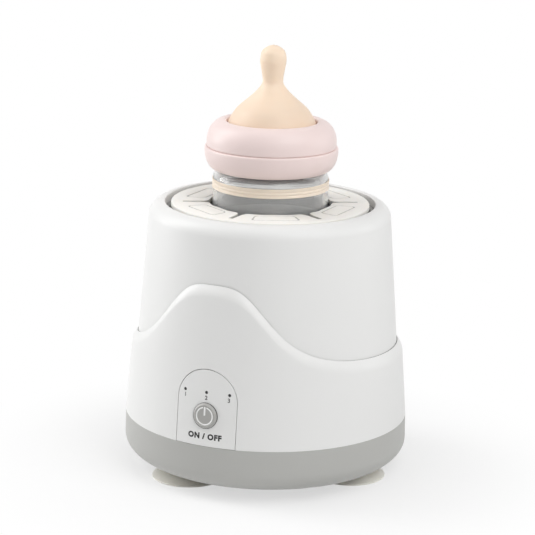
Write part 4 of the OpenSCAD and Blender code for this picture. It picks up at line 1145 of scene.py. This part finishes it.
def make_floor():
    """Pale floor that stays white away from the object and keeps its shadow."""
    bm = bmesh.new()
    half = 6
    corners = ((-half, -half), (half, -half), (half, half), (-half, half))
    bm.faces.new([bm.verts.new((x, y, 0)) for x, y in corners])
    floor = finish_mesh("floor", bm)
    material, nodes, links, shader = principled("floor")
    shader.inputs["Base Color"].default_value = (0.9, 0.9, 0.9, 1)
    shader.inputs["Roughness"].default_value = 0.9
    shader.inputs["Specular IOR Level"].default_value = 0.1
    glow = nodes.new("ShaderNodeEmission")
    glow.inputs["Color"].default_value = (1, 1, 1, 1)
    where = nodes.new("ShaderNodeTexCoord")
    length = nodes.new("ShaderNodeVectorMath")
    length.operation = "LENGTH"
    links.new(where.outputs["Object"], length.inputs[0])
    fade = nodes.new("ShaderNodeMapRange")
    fade.interpolation_type = "SMOOTHSTEP"
    fade.inputs["From Min"].default_value = 0.06
    fade.inputs["From Max"].default_value = 0.15
    fade.inputs["To Min"].default_value = 0.6
    links.new(length.outputs["Value"], fade.inputs["Value"])
    amount = combine(nodes, links, "MULTIPLY", fade.outputs["Result"], seen_rays(nodes, links))
    mix = nodes.new("ShaderNodeMixShader")
    links.new(amount, mix.inputs["Fac"])
    links.new(shader.outputs["BSDF"], mix.inputs[1])
    links.new(glow.outputs["Emission"], mix.inputs[2])
    links.new(mix.outputs["Shader"], nodes["Material Output"].inputs["Surface"])
    floor.data.materials.append(material)


def make_light(name, turn, rise, away, size, power):
    """A soft square lamp, placed by its angle right of the camera and its angle up."""
    lamp = bpy.data.lights.new(name, "AREA")
    lamp.shape = "SQUARE"
    lamp.size = size
    lamp.energy = power
    holder = bpy.data.objects.new(name, lamp)
    bpy.context.scene.collection.objects.link(holder)
    azimuth = CAMERA_TURN + math.radians(turn)
    up = math.radians(rise)
    out = Vector((math.sin(azimuth) * math.cos(up), -math.cos(azimuth) * math.cos(up), math.sin(up)))
    holder.location = LIGHT_AIM + out * away
    holder.rotation_euler = out.to_track_quat("Z", "Y").to_euler()


def make_world():
    """Even pale surroundings."""
    world = bpy.data.worlds.new("studio")
    world.use_nodes = True
    nodes = world.node_tree.nodes
    links = world.node_tree.links
    sky = nodes["Background"]
    sky.inputs["Color"].default_value = (1, 1, 1, 1)
    power = nodes.new("ShaderNodeMapRange")
    power.inputs["To Min"].default_value = SKY_POWER
    links.new(seen_rays(nodes, links), power.inputs["Value"])
    links.new(power.outputs["Result"], sky.inputs["Strength"])
    bpy.context.scene.world = world


def make_camera():
    """Camera at the photograph's place, with its slight roll."""
    away = 1.0
    height = 0.3445
    pitch = math.radians(14.17)
    roll = math.radians(1.25)
    yaw = 0.0006
    camera = bpy.data.cameras.new("camera")
    camera.sensor_width = 36
    camera.lens = 152.5
    holder = bpy.data.objects.new("camera", camera)
    bpy.context.scene.collection.objects.link(holder)
    turn = Matrix.Rotation(CAMERA_TURN + yaw, 4, "Z") @ Matrix.Rotation(math.pi / 2 - pitch, 4, "X")
    spot = Vector((away * math.sin(CAMERA_TURN), -away * math.cos(CAMERA_TURN), height))
    holder.matrix_world = Matrix.Translation(spot) @ turn @ Matrix.Rotation(roll, 4, "Z")
    bpy.context.scene.camera = holder


make_floor()
make_world()
for light in LIGHTS:
    make_light(*light)
make_camera()
bpy.context.scene.view_settings.view_transform = "Standard"
